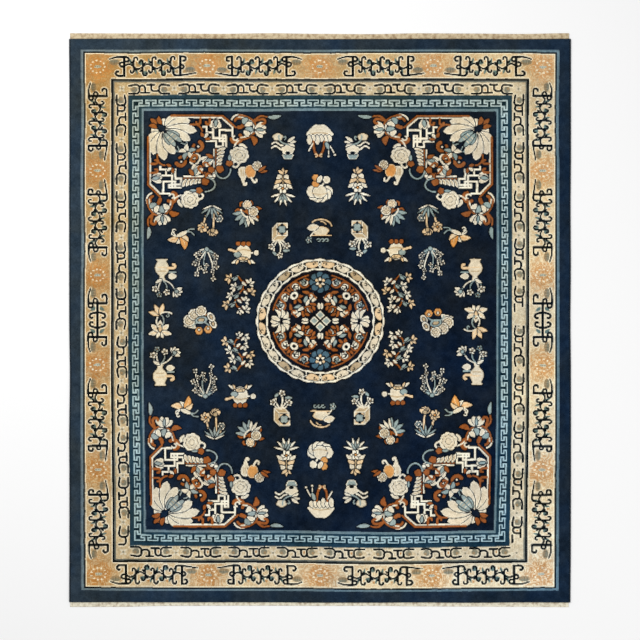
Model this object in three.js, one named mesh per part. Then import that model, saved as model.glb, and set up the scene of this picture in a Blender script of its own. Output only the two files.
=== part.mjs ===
// A hand-knotted Peking carpet lying flat. It has a knotted wool pile, an overcast wool cord down
// each long side, and a flat-woven cotton web with a plaited edge across each end.
// Millimetres, +Z up. +X runs to the right-hand cord and +Y to the far end. The origin is on the
// floor, under the middle of the carpet.

import * as THREE from 'three';

// Driving dimensions
const CARPET_WIDTH = 2440; // over both side cords
const CARPET_LENGTH = 2790; // over both end webs
const PILE_THICKNESS = 9; // knotted foundation and clipped pile together
const CORD_WIDTH = 7;
const CORD_HEIGHT = 6.5;
const FAR_WEB_DEPTH = 25.5;
const NEAR_WEB_DEPTH = 21;
const WEB_THICKNESS = 2.6;
const PLAIT_WIDTH = 9;
const PLAIT_HEIGHT = 4.4;
const WEB_INSET_LEFT = 5; // the webs are a little narrower than the pile
const WEB_INSET_RIGHT = 9;
const WEB_END_SLANT = 4; // how far a web's end is cut back at its outer edge
const SEAM = 0.3; // clearance between pieces that meet

const STEPS_ALONG_SIDE = 60;
const STEPS_ALONG_END = 52;

// How far each edge is drawn in, in millimetres, at even steps. The sides run from the near end
// to the far end, and the ends run from left to right.
const SIDE_UNEVENNESS = [
  { left: 0.5, right: 2.4 },
  { left: 1.5, right: 0.5 },
  { left: 1.8, right: 0.0 },
  { left: 0.8, right: 0.0 },
  { left: 3.9, right: 0.2 },
  { left: 0.8, right: 2.4 },
  { left: 0.5, right: 0.6 },
  { left: 0.5, right: 1.9 },
  { left: 1.6, right: 0.0 },
  { left: 1.4, right: 0.2 },
  { left: 0.0, right: 0.0 },
];
const END_UNEVENNESS = [
  { nearWeb: 1.0, nearPile: 3.4, farPile: 2.9, farWeb: 0.0 },
  { nearWeb: 1.5, nearPile: 3.8, farPile: 1.5, farWeb: 0.8 },
  { nearWeb: 6.4, nearPile: 2.8, farPile: 1.8, farWeb: 1.5 },
  { nearWeb: 7.0, nearPile: 3.5, farPile: 1.5, farWeb: 2.7 },
  { nearWeb: 7.2, nearPile: 3.3, farPile: 4.0, farWeb: 0.0 },
  { nearWeb: 6.0, nearPile: 1.2, farPile: 4.6, farWeb: 3.0 },
  { nearWeb: 6.5, nearPile: 1.2, farPile: 3.4, farWeb: 4.5 },
  { nearWeb: 3.6, nearPile: 2.5, farPile: 2.8, farWeb: 0.4 },
  { nearWeb: 2.6, nearPile: 0.6, farPile: 3.0, farWeb: 1.5 },
  { nearWeb: 1.4, nearPile: 2.9, farPile: 4.4, farWeb: 3.5 },
  { nearWeb: 0.0, nearPile: 1.9, farPile: 2.4, farWeb: 0.0 },
];

// The pile's edge from the floor up: how far in from the outline each line runs, and its height
const PILE_EDGE = [
  { inset: 1.0, height: 0 },
  { inset: 0.0, height: 1.2 },
  { inset: 0.0, height: 5.4 },
  { inset: 0.8, height: 7.5 },
  { inset: 2.6, height: 8.6 },
  { inset: 7.0, height: PILE_THICKNESS },
];

// Half of a side cord's section, as shares of its width and height, from the floor to the top
const CORD_HALF_SECTION = [
  { across: 0.24, up: 0 },
  { across: 0.5, up: 0.28 },
  { across: 0.5, up: 0.72 },
  { across: 0.24, up: 1 },
];

const woolPile = new THREE.MeshStandardMaterial({ color: 0x1c2a42, roughness: 0.95, metalness: 0 });
const woolCord = new THREE.MeshStandardMaterial({ color: 0x141b26, roughness: 0.9, metalness: 0 });
const cottonWeb = new THREE.MeshStandardMaterial({ color: 0xd8c5a0, roughness: 0.92, metalness: 0 });

// Value of one column of an unevenness table at a share from 0 to 1, eased between its rows
function drawnIn(table, column, share) {
  const place = THREE.MathUtils.clamp(share, 0, 1) * (table.length - 1);
  const row = Math.min(Math.floor(place), table.length - 2);
  const blend = THREE.MathUtils.smoothstep(place - row, 0, 1);
  return THREE.MathUtils.lerp(table[row][column], table[row + 1][column], blend);
}

// The knotted pile's four edges
function pileSideX(side, share) {
  const column = side < 0 ? 'left' : 'right';
  const reach = CARPET_WIDTH / 2 - CORD_WIDTH - SEAM - drawnIn(SIDE_UNEVENNESS, column, share);
  return side * reach;
}

function pileNearY(share) {
  return -CARPET_LENGTH / 2 + NEAR_WEB_DEPTH + drawnIn(END_UNEVENNESS, 'nearPile', share);
}

function pileFarY(share) {
  return CARPET_LENGTH / 2 - FAR_WEB_DEPTH - drawnIn(END_UNEVENNESS, 'farPile', share);
}

// Closed loop round the pile, counter-clockwise from the near left corner, drawn in by an inset
function pileOutline(inset) {
  const { lerp } = THREE.MathUtils;
  const loop = [];
  for (let i = 0; i < STEPS_ALONG_END; i += 1) {
    const share = i / STEPS_ALONG_END;
    const x = lerp(pileSideX(-1, 0) + inset, pileSideX(1, 0) - inset, share);
    loop.push(new THREE.Vector2(x, pileNearY(share) + inset));
  }
  for (let i = 0; i < STEPS_ALONG_SIDE; i += 1) {
    const share = i / STEPS_ALONG_SIDE;
    const y = lerp(pileNearY(1) + inset, pileFarY(1) - inset, share);
    loop.push(new THREE.Vector2(pileSideX(1, share) - inset, y));
  }
  for (let i = 0; i < STEPS_ALONG_END; i += 1) {
    const share = 1 - i / STEPS_ALONG_END;
    const x = lerp(pileSideX(-1, 1) + inset, pileSideX(1, 1) - inset, share);
    loop.push(new THREE.Vector2(x, pileFarY(share) - inset));
  }
  for (let i = 0; i < STEPS_ALONG_SIDE; i += 1) {
    const share = 1 - i / STEPS_ALONG_SIDE;
    const y = lerp(pileNearY(0) + inset, pileFarY(0) - inset, share);
    loop.push(new THREE.Vector2(pileSideX(-1, share) + inset, y));
  }
  return loop;
}

// A closed solid through rings of equal length. Each ring runs counter-clockwise seen from the
// last ring's side, and both ends are capped with the triangles of the flat outline given.
function solidThroughRings(rings, capOutline) {
  const count = capOutline.length;
  const positions = rings.flatMap((ring) => ring.flatMap((point) => [point.x, point.y, point.z]));
  const faces = [];
  for (let ring = 0; ring < rings.length - 1; ring += 1) {
    for (let i = 0; i < count; i += 1) {
      const a = ring * count + i;
      const b = ring * count + ((i + 1) % count);
      faces.push(a, b, b + count, a, b + count, a + count);
    }
  }
  const last = (rings.length - 1) * count;
  for (const [a, b, c] of THREE.ShapeUtils.triangulateShape(capOutline, [])) {
    faces.push(a, c, b, last + a, last + b, last + c);
  }
  const geometry = new THREE.BufferGeometry();
  geometry.setAttribute('position', new THREE.Float32BufferAttribute(positions, 3));
  geometry.setIndex(faces);
  geometry.computeVertexNormals();
  return geometry;
}

// The knotted slab: its outline repeated at each height of the edge profile
function pileGeometry() {
  const rings = PILE_EDGE.map(({ inset, height }) =>
    pileOutline(inset).map((point) => new THREE.Vector3(point.x, point.y, height)));
  return solidThroughRings(rings, pileOutline(0));
}

// A side cord: its section carried along the pile's edge from the near end to the far end
function cordGeometry(side) {
  const half = CORD_HALF_SECTION.map(({ across, up }) =>
    new THREE.Vector2(across * CORD_WIDTH, up * CORD_HEIGHT));
  const mirrored = half.map((point) => new THREE.Vector2(-point.x, point.y)).reverse();
  const section = [...half, ...mirrored];
  const rings = [];
  for (let i = 0; i <= STEPS_ALONG_SIDE; i += 1) {
    const share = i / STEPS_ALONG_SIDE;
    const y = THREE.MathUtils.lerp(pileNearY(side < 0 ? 0 : 1), pileFarY(side < 0 ? 0 : 1), share);
    const middle = pileSideX(side, share) + side * (SEAM + CORD_WIDTH / 2);
    rings.push(section.map((point) => new THREE.Vector3(middle + point.x, y, point.y)));
  }
  // Carried along +Y, a section that is counter-clockwise in X and Z has to run from far to near
  return solidThroughRings(rings.reverse(), section);
}

// An end web: flat weave next to the pile, then the thicker plait along its outer edge
function webGeometry(end) {
  const depthToOutline = (depth) => [
    new THREE.Vector2(0, 0),
    new THREE.Vector2(depth - PLAIT_WIDTH * 0.05, 0),
    new THREE.Vector2(depth, PLAIT_HEIGHT * 0.42),
    new THREE.Vector2(depth - PLAIT_WIDTH * 0.16, PLAIT_HEIGHT * 0.86),
    new THREE.Vector2(depth - PLAIT_WIDTH * 0.45, PLAIT_HEIGHT),
    new THREE.Vector2(depth - PLAIT_WIDTH * 0.8, PLAIT_HEIGHT * 0.86),
    new THREE.Vector2(depth - PLAIT_WIDTH, WEB_THICKNESS),
    new THREE.Vector2(0, WEB_THICKNESS),
  ];
  const left = pileSideX(-1, end < 0 ? 0 : 1) - CORD_WIDTH + WEB_INSET_LEFT;
  const right = pileSideX(1, end < 0 ? 0 : 1) + CORD_WIDTH - WEB_INSET_RIGHT;
  const rings = [];
  for (let i = 0; i <= STEPS_ALONG_END; i += 1) {
    const share = i / STEPS_ALONG_END;
    const x = THREE.MathUtils.lerp(left, right, share);
    const inner = end < 0 ? pileNearY(share) - SEAM : pileFarY(share) + SEAM;
    const outer = end * (CARPET_LENGTH / 2
      - drawnIn(END_UNEVENNESS, end < 0 ? 'nearWeb' : 'farWeb', share));
    const depth = Math.abs(outer - inner);
    const outline = depthToOutline(depth);
    const slant = i === 0 ? WEB_END_SLANT : i === STEPS_ALONG_END ? -WEB_END_SLANT : 0;
    rings.push(outline.map((point) =>
      new THREE.Vector3(x + slant * (point.x / depth), inner + end * point.x, point.y)));
  }
  const ordered = end < 0 ? rings.reverse() : rings;
  return solidThroughRings(ordered, depthToOutline(FAR_WEB_DEPTH));
}

const carpet = new THREE.Group();

function addPiece(name, geometry, material) {
  const mesh = new THREE.Mesh(geometry, material);
  mesh.name = name;
  carpet.add(mesh);
}

addPiece('knotted_pile', pileGeometry(), woolPile);
addPiece('side_cord_left', cordGeometry(-1), woolCord);
addPiece('side_cord_right', cordGeometry(1), woolCord);
addPiece('end_web_far', webGeometry(1), cottonWeb);
addPiece('end_web_near', webGeometry(-1), cottonWeb);

export default carpet;
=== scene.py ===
"""The looks of a hand-knotted Peking carpet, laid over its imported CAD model.

The design is drawn here as a weaver's chart. Each motif is built from plain shapes in squares of its own,
such as leaves, petals, curls, hooks and stepped keys, and is set down at its place on the carpet. The
pile's knots take their yarns from that chart.
Metres, +Z up, +X to the right-hand cord and +Y to the far end.
"""

import bpy
import numpy as np
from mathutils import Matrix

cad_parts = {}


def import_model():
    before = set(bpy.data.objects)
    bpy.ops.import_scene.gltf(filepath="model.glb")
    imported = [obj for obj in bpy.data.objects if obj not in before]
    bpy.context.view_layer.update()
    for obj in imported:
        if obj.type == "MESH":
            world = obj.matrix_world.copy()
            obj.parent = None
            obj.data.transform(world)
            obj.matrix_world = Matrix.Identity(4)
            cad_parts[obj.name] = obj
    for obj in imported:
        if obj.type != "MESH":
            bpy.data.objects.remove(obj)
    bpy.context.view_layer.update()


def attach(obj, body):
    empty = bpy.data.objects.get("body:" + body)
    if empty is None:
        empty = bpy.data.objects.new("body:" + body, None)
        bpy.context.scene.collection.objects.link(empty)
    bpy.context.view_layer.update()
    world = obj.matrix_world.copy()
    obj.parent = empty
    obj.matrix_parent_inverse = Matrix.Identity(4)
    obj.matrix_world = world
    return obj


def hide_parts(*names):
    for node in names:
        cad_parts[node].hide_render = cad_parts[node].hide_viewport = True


# Sizes of the carpet, the same as in its CAD source
MM = 0.001
CARPET_WIDTH = 2440 * MM
CARPET_LENGTH = 2790 * MM
PILE_THICKNESS = 9 * MM
CORD_WIDTH = 7 * MM
CORD_HEIGHT = 6.5 * MM
FAR_WEB_DEPTH = 25.5 * MM
NEAR_WEB_DEPTH = 21 * MM
WEB_THICKNESS = 2.6 * MM
PLAIT_WIDTH = 9 * MM
PLAIT_HEIGHT = 4.4 * MM
WEB_INSET_LEFT = 5 * MM
WEB_INSET_RIGHT = 9 * MM
SEAM = 0.3 * MM

# The chart: one square is one step of the design, and the drawing is four times finer
SQUARE = 4.857 * MM
FINE = 4
HALF_WIDE = 252
HALF_LONG = 284

# The pile: how many knots lie across and along
KNOTS_ACROSS = 577
KNOTS_ALONG = 653
SEED = 11

# How far each edge is drawn in, in millimetres, at even steps: the sides from near to far, the ends
# from left to right
LEFT_DRAWN = np.array([0.5, 1.5, 1.8, 0.8, 3.9, 0.8, 0.5, 0.5, 1.6, 1.4, 0.0]) * MM
RIGHT_DRAWN = np.array([2.4, 0.5, 0.0, 0.0, 0.2, 2.4, 0.6, 1.9, 0.0, 0.2, 0.0]) * MM
NEAR_WEB_DRAWN = np.array([1.0, 1.5, 6.4, 7.0, 7.2, 6.0, 6.5, 3.6, 2.6, 1.4, 0.0]) * MM
NEAR_PILE_DRAWN = np.array([3.4, 3.8, 2.8, 3.5, 3.3, 1.2, 1.2, 2.5, 0.6, 2.9, 1.9]) * MM
FAR_PILE_DRAWN = np.array([2.9, 1.5, 1.8, 1.5, 4.0, 4.6, 3.4, 2.8, 3.0, 4.4, 2.4]) * MM
FAR_WEB_DRAWN = np.array([0.0, 0.8, 1.5, 2.7, 0.0, 3.0, 4.5, 0.4, 1.5, 3.5, 0.0]) * MM

# The pile's edge from its top grid down to the floor: inset from the outline, and height
PILE_EDGE = np.array([(2.6, 8.6), (0.8, 7.5), (0.0, 5.4), (0.0, 1.2), (1.0, 0.0)]) * MM


def drawn_in(steps, share):
    """The value of a row of even steps at a share from 0 to 1, eased between neighbours."""
    place = np.clip(share, 0, 1) * (len(steps) - 1)
    row = np.minimum(place.astype(int), len(steps) - 2)
    t = place - row
    return steps[row] + (steps[row + 1] - steps[row]) * t * t * (3 - 2 * t)


def pile_side(side, share):
    steps = LEFT_DRAWN if side < 0 else RIGHT_DRAWN
    return side * (CARPET_WIDTH / 2 - CORD_WIDTH - SEAM - drawn_in(steps, share))


def pile_end(end, share):
    if end < 0:
        return -CARPET_LENGTH / 2 + NEAR_WEB_DEPTH + drawn_in(NEAR_PILE_DRAWN, share)
    return CARPET_LENGTH / 2 - FAR_WEB_DEPTH - drawn_in(FAR_PILE_DRAWN, share)


# The yarns, in the order of their dyes below
(NAVY, CREAM, WHITE, RUST, PEACH, APRICOT, SKY, LOTUS, INK, TAN, SAND, GROUND, GUARD, BAND, TEAL, FRET, GREY,
 FIELD_LINE, SHADE, FRET_LINE, BLUSH, MIST, SHADOW, DEEP, DULL, FAINT, GLOW, HAZE, BROWN) = range(29)


class Chart:
    """A grid of yarns between two corners given in squares, y growing towards the near end."""

    def __init__(self, left, top, right, bottom, yarn):
        self.left, self.top = left, top
        wide, deep = round((right - left) * FINE), round((bottom - top) * FINE)
        self.grid = np.full((deep, wide), yarn, np.uint8)

    def window(self, points, margin):
        low = (points.min(0) - margin - (self.left, self.top)) * FINE
        high = (points.max(0) + margin - (self.left, self.top)) * FINE
        i0, j0 = np.maximum(np.floor(low).astype(int), 0)
        i1, j1 = np.minimum(np.ceil(high).astype(int) + 1, (self.grid.shape[1], self.grid.shape[0]))
        x = self.left + (np.arange(i0, max(i1, i0)) + 0.5) / FINE
        y = self.top + (np.arange(j0, max(j1, j0)) + 0.5) / FINE
        return (slice(j0, max(j1, j0)), slice(i0, max(i1, i0))), *np.meshgrid(x, y)

    def box(self, left, top, right, bottom, yarn):
        i0, i1 = [max(0, round((v - self.left) * FINE)) for v in (left, right)]
        j0, j1 = [max(0, round((v - self.top) * FINE)) for v in (top, bottom)]
        self.grid[j0:j1, i0:i1] = yarn


def spline(points, closed=False, step=0.6):
    """A smooth curve through points, by the Catmull-Rom formula."""
    P = np.asarray(points, float)
    if len(P) == 2 and not closed:
        return P
    if closed:
        P = np.vstack([P[-1], P, P[0], P[1]])
    else:
        P = np.vstack([2 * P[0] - P[1], P, 2 * P[-1] - P[-2]])
    runs = []
    for a, b, c, d in zip(P, P[1:], P[2:], P[3:]):
        count = max(2, int(np.hypot(*(c - b)) / step) + 1)
        t = np.linspace(0, 1, count, endpoint=False)[:, None]
        runs.append(0.5 * (2 * b + (c - a) * t + (2 * a - 5 * b + 4 * c - d) * t**2
                           + (3 * b - a - 3 * c + d) * t**3))
    if not closed:
        runs.append(P[-2][None])
    return np.vstack(runs)


def circle(angles, across, up=None):
    """Points at angles in degrees round the origin."""
    a = np.radians(angles)
    return np.stack([across * np.cos(a), (across if up is None else up) * np.sin(a)], 1)


def near(mask, steps):
    for _ in range(steps):
        wider = mask.copy()
        wider[1:] |= mask[:-1]
        wider[:-1] |= mask[1:]
        wider[:, 1:] |= mask[:, :-1]
        wider[:, :-1] |= mask[:, 1:]
        mask = wider
    return mask


class Pen:
    """Draws on a chart in its own units, which may be moved, turned, stretched or mirrored."""

    def __init__(self, chart, at=(0, 0), matrix=((1, 0), (0, 1)), turn=0, parting=None):
        self.chart, self.parting = chart, parting
        c, s = np.cos(np.radians(turn)), np.sin(np.radians(turn))
        self.matrix = np.asarray(matrix, float) @ np.array([[c, -s], [s, c]])
        self.at = np.asarray(at, float)
        self.size = abs(np.linalg.det(self.matrix)) ** 0.5

    def moved(self, at=(0, 0), turn=0, flip=False):
        matrix = self.matrix @ np.diag([-1.0 if flip else 1.0, 1.0])
        middle = self.matrix @ np.asarray(at, float) + self.at
        return Pen(self.chart, middle, matrix, turn, self.parting)

    def place(self, points):
        return np.asarray(points, float) @ self.matrix.T + self.at

    def line(self, points, width, yarn, tip=None, straight=False):
        path = self.place(points if straight else spline(points))
        wide = width * self.size
        thin = wide if tip is None else tip * self.size
        where, X, Y = self.chart.window(path, max(wide, thin))
        if X.size == 0:
            return
        lengths = np.hypot(*np.diff(path, axis=0).T)
        run = np.concatenate([[0], np.cumsum(lengths)]) / max(lengths.sum(), 1e-6)
        best = np.full(X.shape, 9.0)
        for (ax, ay), (bx, by), u, v, size in zip(path, path[1:], run, run[1:], lengths):
            if size < 1e-6:
                continue
            t = np.clip(((X - ax) * (bx - ax) + (Y - ay) * (by - ay)) / size**2, 0, 1)
            gap = np.hypot(X - ax - t * (bx - ax), Y - ay - t * (by - ay))
            best = np.minimum(best, gap - (wide + (thin - wide) * (u + (v - u) * t)) / 2)
        self.chart.grid[where][best <= 0] = yarn

    def key(self, points, width, yarn):
        path = self.place(points)
        half = width * self.size / 2
        for ends in zip(path, path[1:]):
            self.chart.box(*(np.min(ends, axis=0) - half), *(np.max(ends, axis=0) + half), yarn)

    def area(self, points, yarn, rim=None, width=0.8, straight=False):
        loop = np.asarray(points, float) if straight else spline(points, closed=True)
        path = self.place(loop)
        where, X, Y = self.chart.window(path, 1.5)
        if X.size:
            inside = np.zeros(X.shape, bool)
            for (ax, ay), (bx, by) in zip(path, np.roll(path, -1, axis=0)):
                if ay != by:
                    inside ^= ((ay > Y) != (by > Y)) & (X < (bx - ax) * (Y - ay) / (by - ay) + ax)
            if self.parting is not None:
                self.chart.grid[where][near(inside, 3)] = self.parting
            self.chart.grid[where][inside] = yarn
        if rim is not None:
            self.line(np.vstack([loop, loop[:1]]), width, rim, straight=True)

    def disc(self, at, across, yarn, up=None, turn=0, rim=None):
        """A round or oval spot."""
        self.moved(at, turn).area(circle(np.arange(0, 360, 18), across, up), yarn, rim, straight=True)

    def leaf(self, base, tip, width, yarn, bend=0.0, full=0.8, vein=None, rim=None):
        """A pointed leaf, or with full above 1 a petal that is widest near its tip."""
        base, tip = np.asarray(base, float), np.asarray(tip, float)
        along = tip - base
        side = np.array([-along[1], along[0]]) / max(np.hypot(*along), 1e-6)
        t = np.linspace(0, 1, 11)[:, None]
        middle = base + along * t + side * bend * np.sin(np.pi * t)
        half = width / 2 * np.sin(np.pi * t**full) ** (0.8 if full <= 1 else 0.5)
        self.area(np.vstack([middle + side * half, (middle - side * half)[::-1]]), yarn, rim, straight=True)
        if vein is not None:
            self.line(middle[2:-3], 0.8, vein)

    def blade(self, at, turn, reach, width, yarn, bend=0.0, full=0.8, vein=None):
        """A leaf that grows from a place at a turn."""
        self.moved(at, turn).leaf((0, 0), (reach, 0), width, yarn, bend, full, vein)

    def fan(self, count, first, last, inner, outer, width, yarn, full=0.8, vein=None, rim=None):
        """Leaves set out evenly between two angles."""
        for turn in np.linspace(first, last, count):
            self.moved(turn=turn).leaf((inner, 0), (outer, 0), width, yarn, 0, full, vein, rim)

    def curl(self, at, wide, tight, start, sweep, width, yarn, tip=None):
        """A spiral round a place, from one radius to another."""
        t = np.linspace(0, 1, max(5, int(abs(sweep) / 20)))
        self.line(circle(start + sweep * t, 1) * (wide + (tight - wide) * t)[:, None] + at, width, yarn, tip)

    def sprout(self, at, turn, reach, bend, width=1.6, yarn=INK):
        """A short stem that curls over at its end, to its left where bend is below 0."""
        side, r = np.sign(bend), abs(bend)
        t = np.arange(0, 210, 30)
        x, y = np.sin(np.radians(t)), 1 - np.cos(np.radians(t))
        tight = r * (1 - t / 600)
        hook = np.stack([reach + tight * x, side * tight * y], 1)
        self.moved(at, turn).line(np.vstack([[(0, 0)], hook]), width, yarn)

    def bloom(self, at, radius, lobes, yarn, depth=0.12, turn=0.0, rim=None, squash=1.0):
        """A round flower with an even lobed edge."""
        a = np.arange(lobes * 6) * 60 / lobes
        r = radius * (1 - depth + depth * np.abs(np.cos(np.radians(lobes * a / 2))) ** 0.7)
        self.area(circle(a + turn, 1, squash) * r[:, None] + at, yarn, rim, straight=True)

    def vessel(self, profile, yarn, rim=None):
        """A pot from its half widths and heights, listed from its mouth to its foot."""
        half = np.array(profile, float)
        self.area(np.vstack([half * (-1, 1), half[::-1]]), yarn, rim)


def blossom(pen, at, size, yarn, petals=5, turn=0, heart=TAN):
    flower = pen.moved(at, turn)
    flower.fan(petals, 0, 360 - 360 / petals, 0.1 * size, 1.2 * size, 0.85 * size, yarn)
    flower.disc((0, 0), 0.24 * size, heart)


def peony(pen, at, radius, yarn=CREAM, fold=FAINT):
    flower = pen.moved(at)
    flower.bloom((0, 0), radius, 9, yarn, 0.12)
    for share, lobes in ((0.66, 7), (0.3, 4)):
        flower.bloom((0, 0), share * radius, lobes, yarn, 0.2, 20 * lobes, fold)


# The straight bands from the outer edge in: half width, half length and yarn
BANDS = [
    (239, 270.5, GUARD),
    (236.5, 268.5, INK),
    (235, 267, SAND),
    (209, 242.5, INK),
    (207, 240.5, GREY),
    (205.5, 239, GROUND),
    (192, 226, TEAL),
    (188, 222.5, FRET),
    (181, 215, TEAL),
    (178.5, 212.5, FIELD_LINE),
    (176.5, 210, NAVY),
]


def draw_bands(chart):
    for side, end, yarn in BANDS:
        chart.box(-side, -end, side, end, yarn)


def arc(first, last, across, up=None):
    return circle(np.linspace(first, last, 12), across, up)


# The vine between two stems of the main border: how long it is, and how far apart its pairs of hooks stand
VINE_RUN = 56
HOOK_PITCH = VINE_RUN / 6


def vine(pen):
    """A waving vine, y outward, with hooks on both sides: tall and short by turns, each facing the next."""
    u = np.linspace(0, VINE_RUN, 29)
    pen.line(np.stack([u, 2.4 * np.sin(np.pi * u / HOOK_PITCH)], 1), 1.8, INK)
    for n in range(1, 6):
        facing = (-1) ** n
        for side in (1, -1):
            hook = pen.moved((HOOK_PITCH * n, 0), 90 * side)
            tall, round_end = ((6.6, 2.7), (4, 2.3))[(n + (side > 0)) % 2]
            hook.disc((tall - 0.6, 2.4 * facing), 1.9, (HAZE, BLUSH)[n % 2], 2.4)
            hook.leaf((2, -2 * facing), (8, -4 * facing), 2.4, (BLUSH, HAZE)[n % 2])
            hook.leaf((0.4 * tall, 0), (0.4 * tall + 2.6, -3.4 * facing), 2.2, INK)
            hook.sprout((0, 0), 0, tall, round_end * facing, 1.9)


def shaded_leaf(pen):
    """A broad soft leaf of the borders, with three veins."""
    pen.disc((0, 0), 5.4, BROWN, 2.8)
    pen.disc((0, 1.2), 4.6, SHADE, 1.4)
    for x in (-2.6, 0, 2.6):
        pen.line([(x, -1.4), (x, 1.8)], 0.8, DULL)


def crooked_stem(pen):
    """A stem with a long foot and hooks on the side away from the vine, and one hook towards it."""
    shaded_leaf(pen.moved((-10, 4)))
    pen.line([(0, -9), (0, 9)], 2.6, INK)
    pen.line([(1, 9), (-8, 9), (-15, 7)], 2.4, INK, 1.2)
    pen.sprout((0, -9), 180, 6, -3, 2.2)
    pen.sprout((0, 0), 180, 2, -2.8, 1.9)
    pen.sprout((0, 9), 0, 2, -3, 2.1)


def upright_stem(pen):
    """A straight stem under a long bowed cap, with hooks on the side away from the vine."""
    shaded_leaf(pen.moved((10, -4)))
    pen.line([(0, -9), (0, 9)], 2.6, INK)
    pen.line([(-7, -6), (-5, -9), (2, -9), (16, -7)], 2.4, INK, 1.2)
    pen.sprout((0, 9), 0, 3, -3, 2.2)
    pen.sprout((0, 1), 0, 1.5, -2.6, 1.9)


def border_bloom(pen):
    """A low, broken bloom in the warm ground: rings of specks round three dark dots."""
    for count, radius, yarn in ((13, 9.4, BLUSH), (11, 7, GLOW), (9, 4.6, BLUSH)):
        for place in circle(np.arange(count) * 360 / count, radius, 0.85 * radius):
            pen.disc(place, 1, yarn, 0.8)
    pen.disc((0, 0), 3.6, MIST, 1.4)
    for x in (-2, 0, 2):
        pen.disc((x, 0), 0.5, DULL)


# Where the main border's stems stand from the middle of each side: crooked and upright, in pairs
END_MIDDLE, SIDE_MIDDLE = 254.5, 222.5
END_STEMS = ((196, 140), (33, 88))
SIDE_STEMS = ((73, 126), (225, 175))

# Where its blooms stand in each quarter, across and along from the carpet's middle
BLOOMS = ((113, END_MIDDLE), (0, END_MIDDLE), (SIDE_MIDDLE, 45), (SIDE_MIDDLE, 150), (SIDE_MIDDLE, 254))


def main_border(chart):
    pens = []
    for crook, upright in END_STEMS:
        pens.append(Pen(chart, (-crook, END_MIDDLE), (((crook - upright) / VINE_RUN, 0), (0, 1))))
    for crook, upright in SIDE_STEMS:
        pens.append(Pen(chart, (-SIDE_MIDDLE, crook), ((0, -1), ((upright - crook) / VINE_RUN, 0))))
    for pen in pens:
        vine(pen)
        crooked_stem(pen)
        upright_stem(pen.moved((VINE_RUN, 0)))
    middle = Pen(chart, (-SIDE_MIDDLE, 17), ((0, -1), (-1, 0)))
    middle.line([(0, 0), (17, 0)], 2.3, INK)
    for side in (-1, 1):
        middle.leaf((4, 2 * side), (8, 7 * side), 3.4, HAZE)
        middle.sprout((9, 0), 75 * side, 6, -3 * side, 2.2)
    crooked_stem(middle)
    for x, y in BLOOMS:
        border_bloom(Pen(chart, (-x, y)))


def knot_unit(pen, left=True, right=True):
    """One unit of the minor border: open brackets round a bowed arm, a barred stem and a foot."""
    for side, shown in ((-1, left), (1, right)):
        if shown:
            half = pen.moved(flip=side > 0)
            half.disc((-15, -1), 3.2, SHADE, 3)
            half.disc((-16, 0), 1.5, BROWN)
            half.line([(-20, -5), (-13, -5), (-10, -3), (-10, 2), (-13, 4), (-20, 3)], 2, INK)
    if left:
        pen.line(np.vstack([arc(180, 350, 4, 2.6) + (-6, 0), [(-2, 4)]]), 2, INK)
    if right:
        pen.line([(-5, 4), (2, 4)], 2, INK)
        pen.line([(0, -4), (8, -4)], 2, INK)
        pen.line(np.vstack([[(4, -4)], arc(180, 0, 3, 3.4) + (7, 0)]), 2, INK)
        pen.disc((7, -1), 1.2, BLUSH)


# Unit places of the minor border, along each side from far to near and along each end from left to right
MINOR_END, MINOR_SIDE = 232.5, 198.5
END_UNITS = (-171, -121, -72, -23, 25, 75, 123, 172)
LEFT_UNITS = (-206, -157, -109, -58, -11, 37, 85, 133, 178, 227)
RIGHT_UNITS = (-206, -158, -109, -61, -14, 26, 74, 122, 169, 217)


def minor_border(chart):
    for s in END_UNITS:
        knot_unit(Pen(chart, (s, MINOR_END)))
        knot_unit(Pen(chart, (s, -MINOR_END), ((-1, 0), (0, -1))))
    for s in LEFT_UNITS:
        f = 1 if s > 0 else -1
        knot_unit(Pen(chart, (-MINOR_SIDE, s), ((0, -f), (f, 0))), right=s < 220)
    for s in RIGHT_UNITS:
        knot_unit(Pen(chart, (MINOR_SIDE, s), ((0, -1), (-1, 0))), left=s not in (-14, 217))
    flowers = [((a + b) / 2, end * MINOR_END) for a, b in zip(END_UNITS, END_UNITS[1:]) for end in (-1, 1)]
    for side, units in ((-1, LEFT_UNITS), (1, RIGHT_UNITS)):
        flowers += [(side * MINOR_SIDE, (a + b) / 2) for a, b in zip(units, units[1:])]
    flowers += [(x * MINOR_SIDE, y * MINOR_END) for x in (-1, 1) for y in (-1, 1)]
    for place in flowers:
        flower = Pen(chart, place)
        flower.fan(4, 45, 315, 0.6, 4, 2.2, CREAM)
        flower.disc((0, 0), 1, SHADE)


def fret(chart):
    """The running T fret, charted as one step of its key and repeated along each band."""
    level = 2.6
    for half, steps, pen in ((187.1, 13, Pen(chart, (0, 218))),
                             (220.6, 15.5, Pen(chart, (-184.5, 0), ((0, -1), (-1, 0))))):
        pitch = (half - 11) / steps
        k = pitch / 13.5
        path = [(-half, level)]
        for n in range(17):
            s = 11 - half + n * pitch
            path += [(s - 1.7 * k, level), (s - 1.7 * k, 0), (s - 5 * k, 0), (s - 5 * k, -level),
                     (s + 5 * k, -level), (s + 5 * k, 0), (s + 1.7 * k, 0), (s + 1.7 * k, level)]
        pen.key(path, 1.3, FRET_LINE)


def comma(pen, fill):
    """A curled cell of the medallion's ring, with the twist that parts it from the next: x along the ring."""
    pen.leaf((-7, 1.6), (6.6, -0.8), 6.2, fill, -0.8, 0.8)
    pen.disc((2.6, 0.6), 3.5, fill, 2.7)
    pen.curl((2.4, 0.6), 1.8, 0.8, 20, 230, 0.9, INK)
    pen.line([(8.4, 4.6), (6.2, 1.8), (8.6, -1.4), (6.6, -4.6)], 1.1, WHITE)


# Yarns of the ring's 24 even cells, in each quarter from one axis to the other
RING_FILLS = (PEACH, CREAM, CREAM, TAN, CREAM, PEACH)


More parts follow.
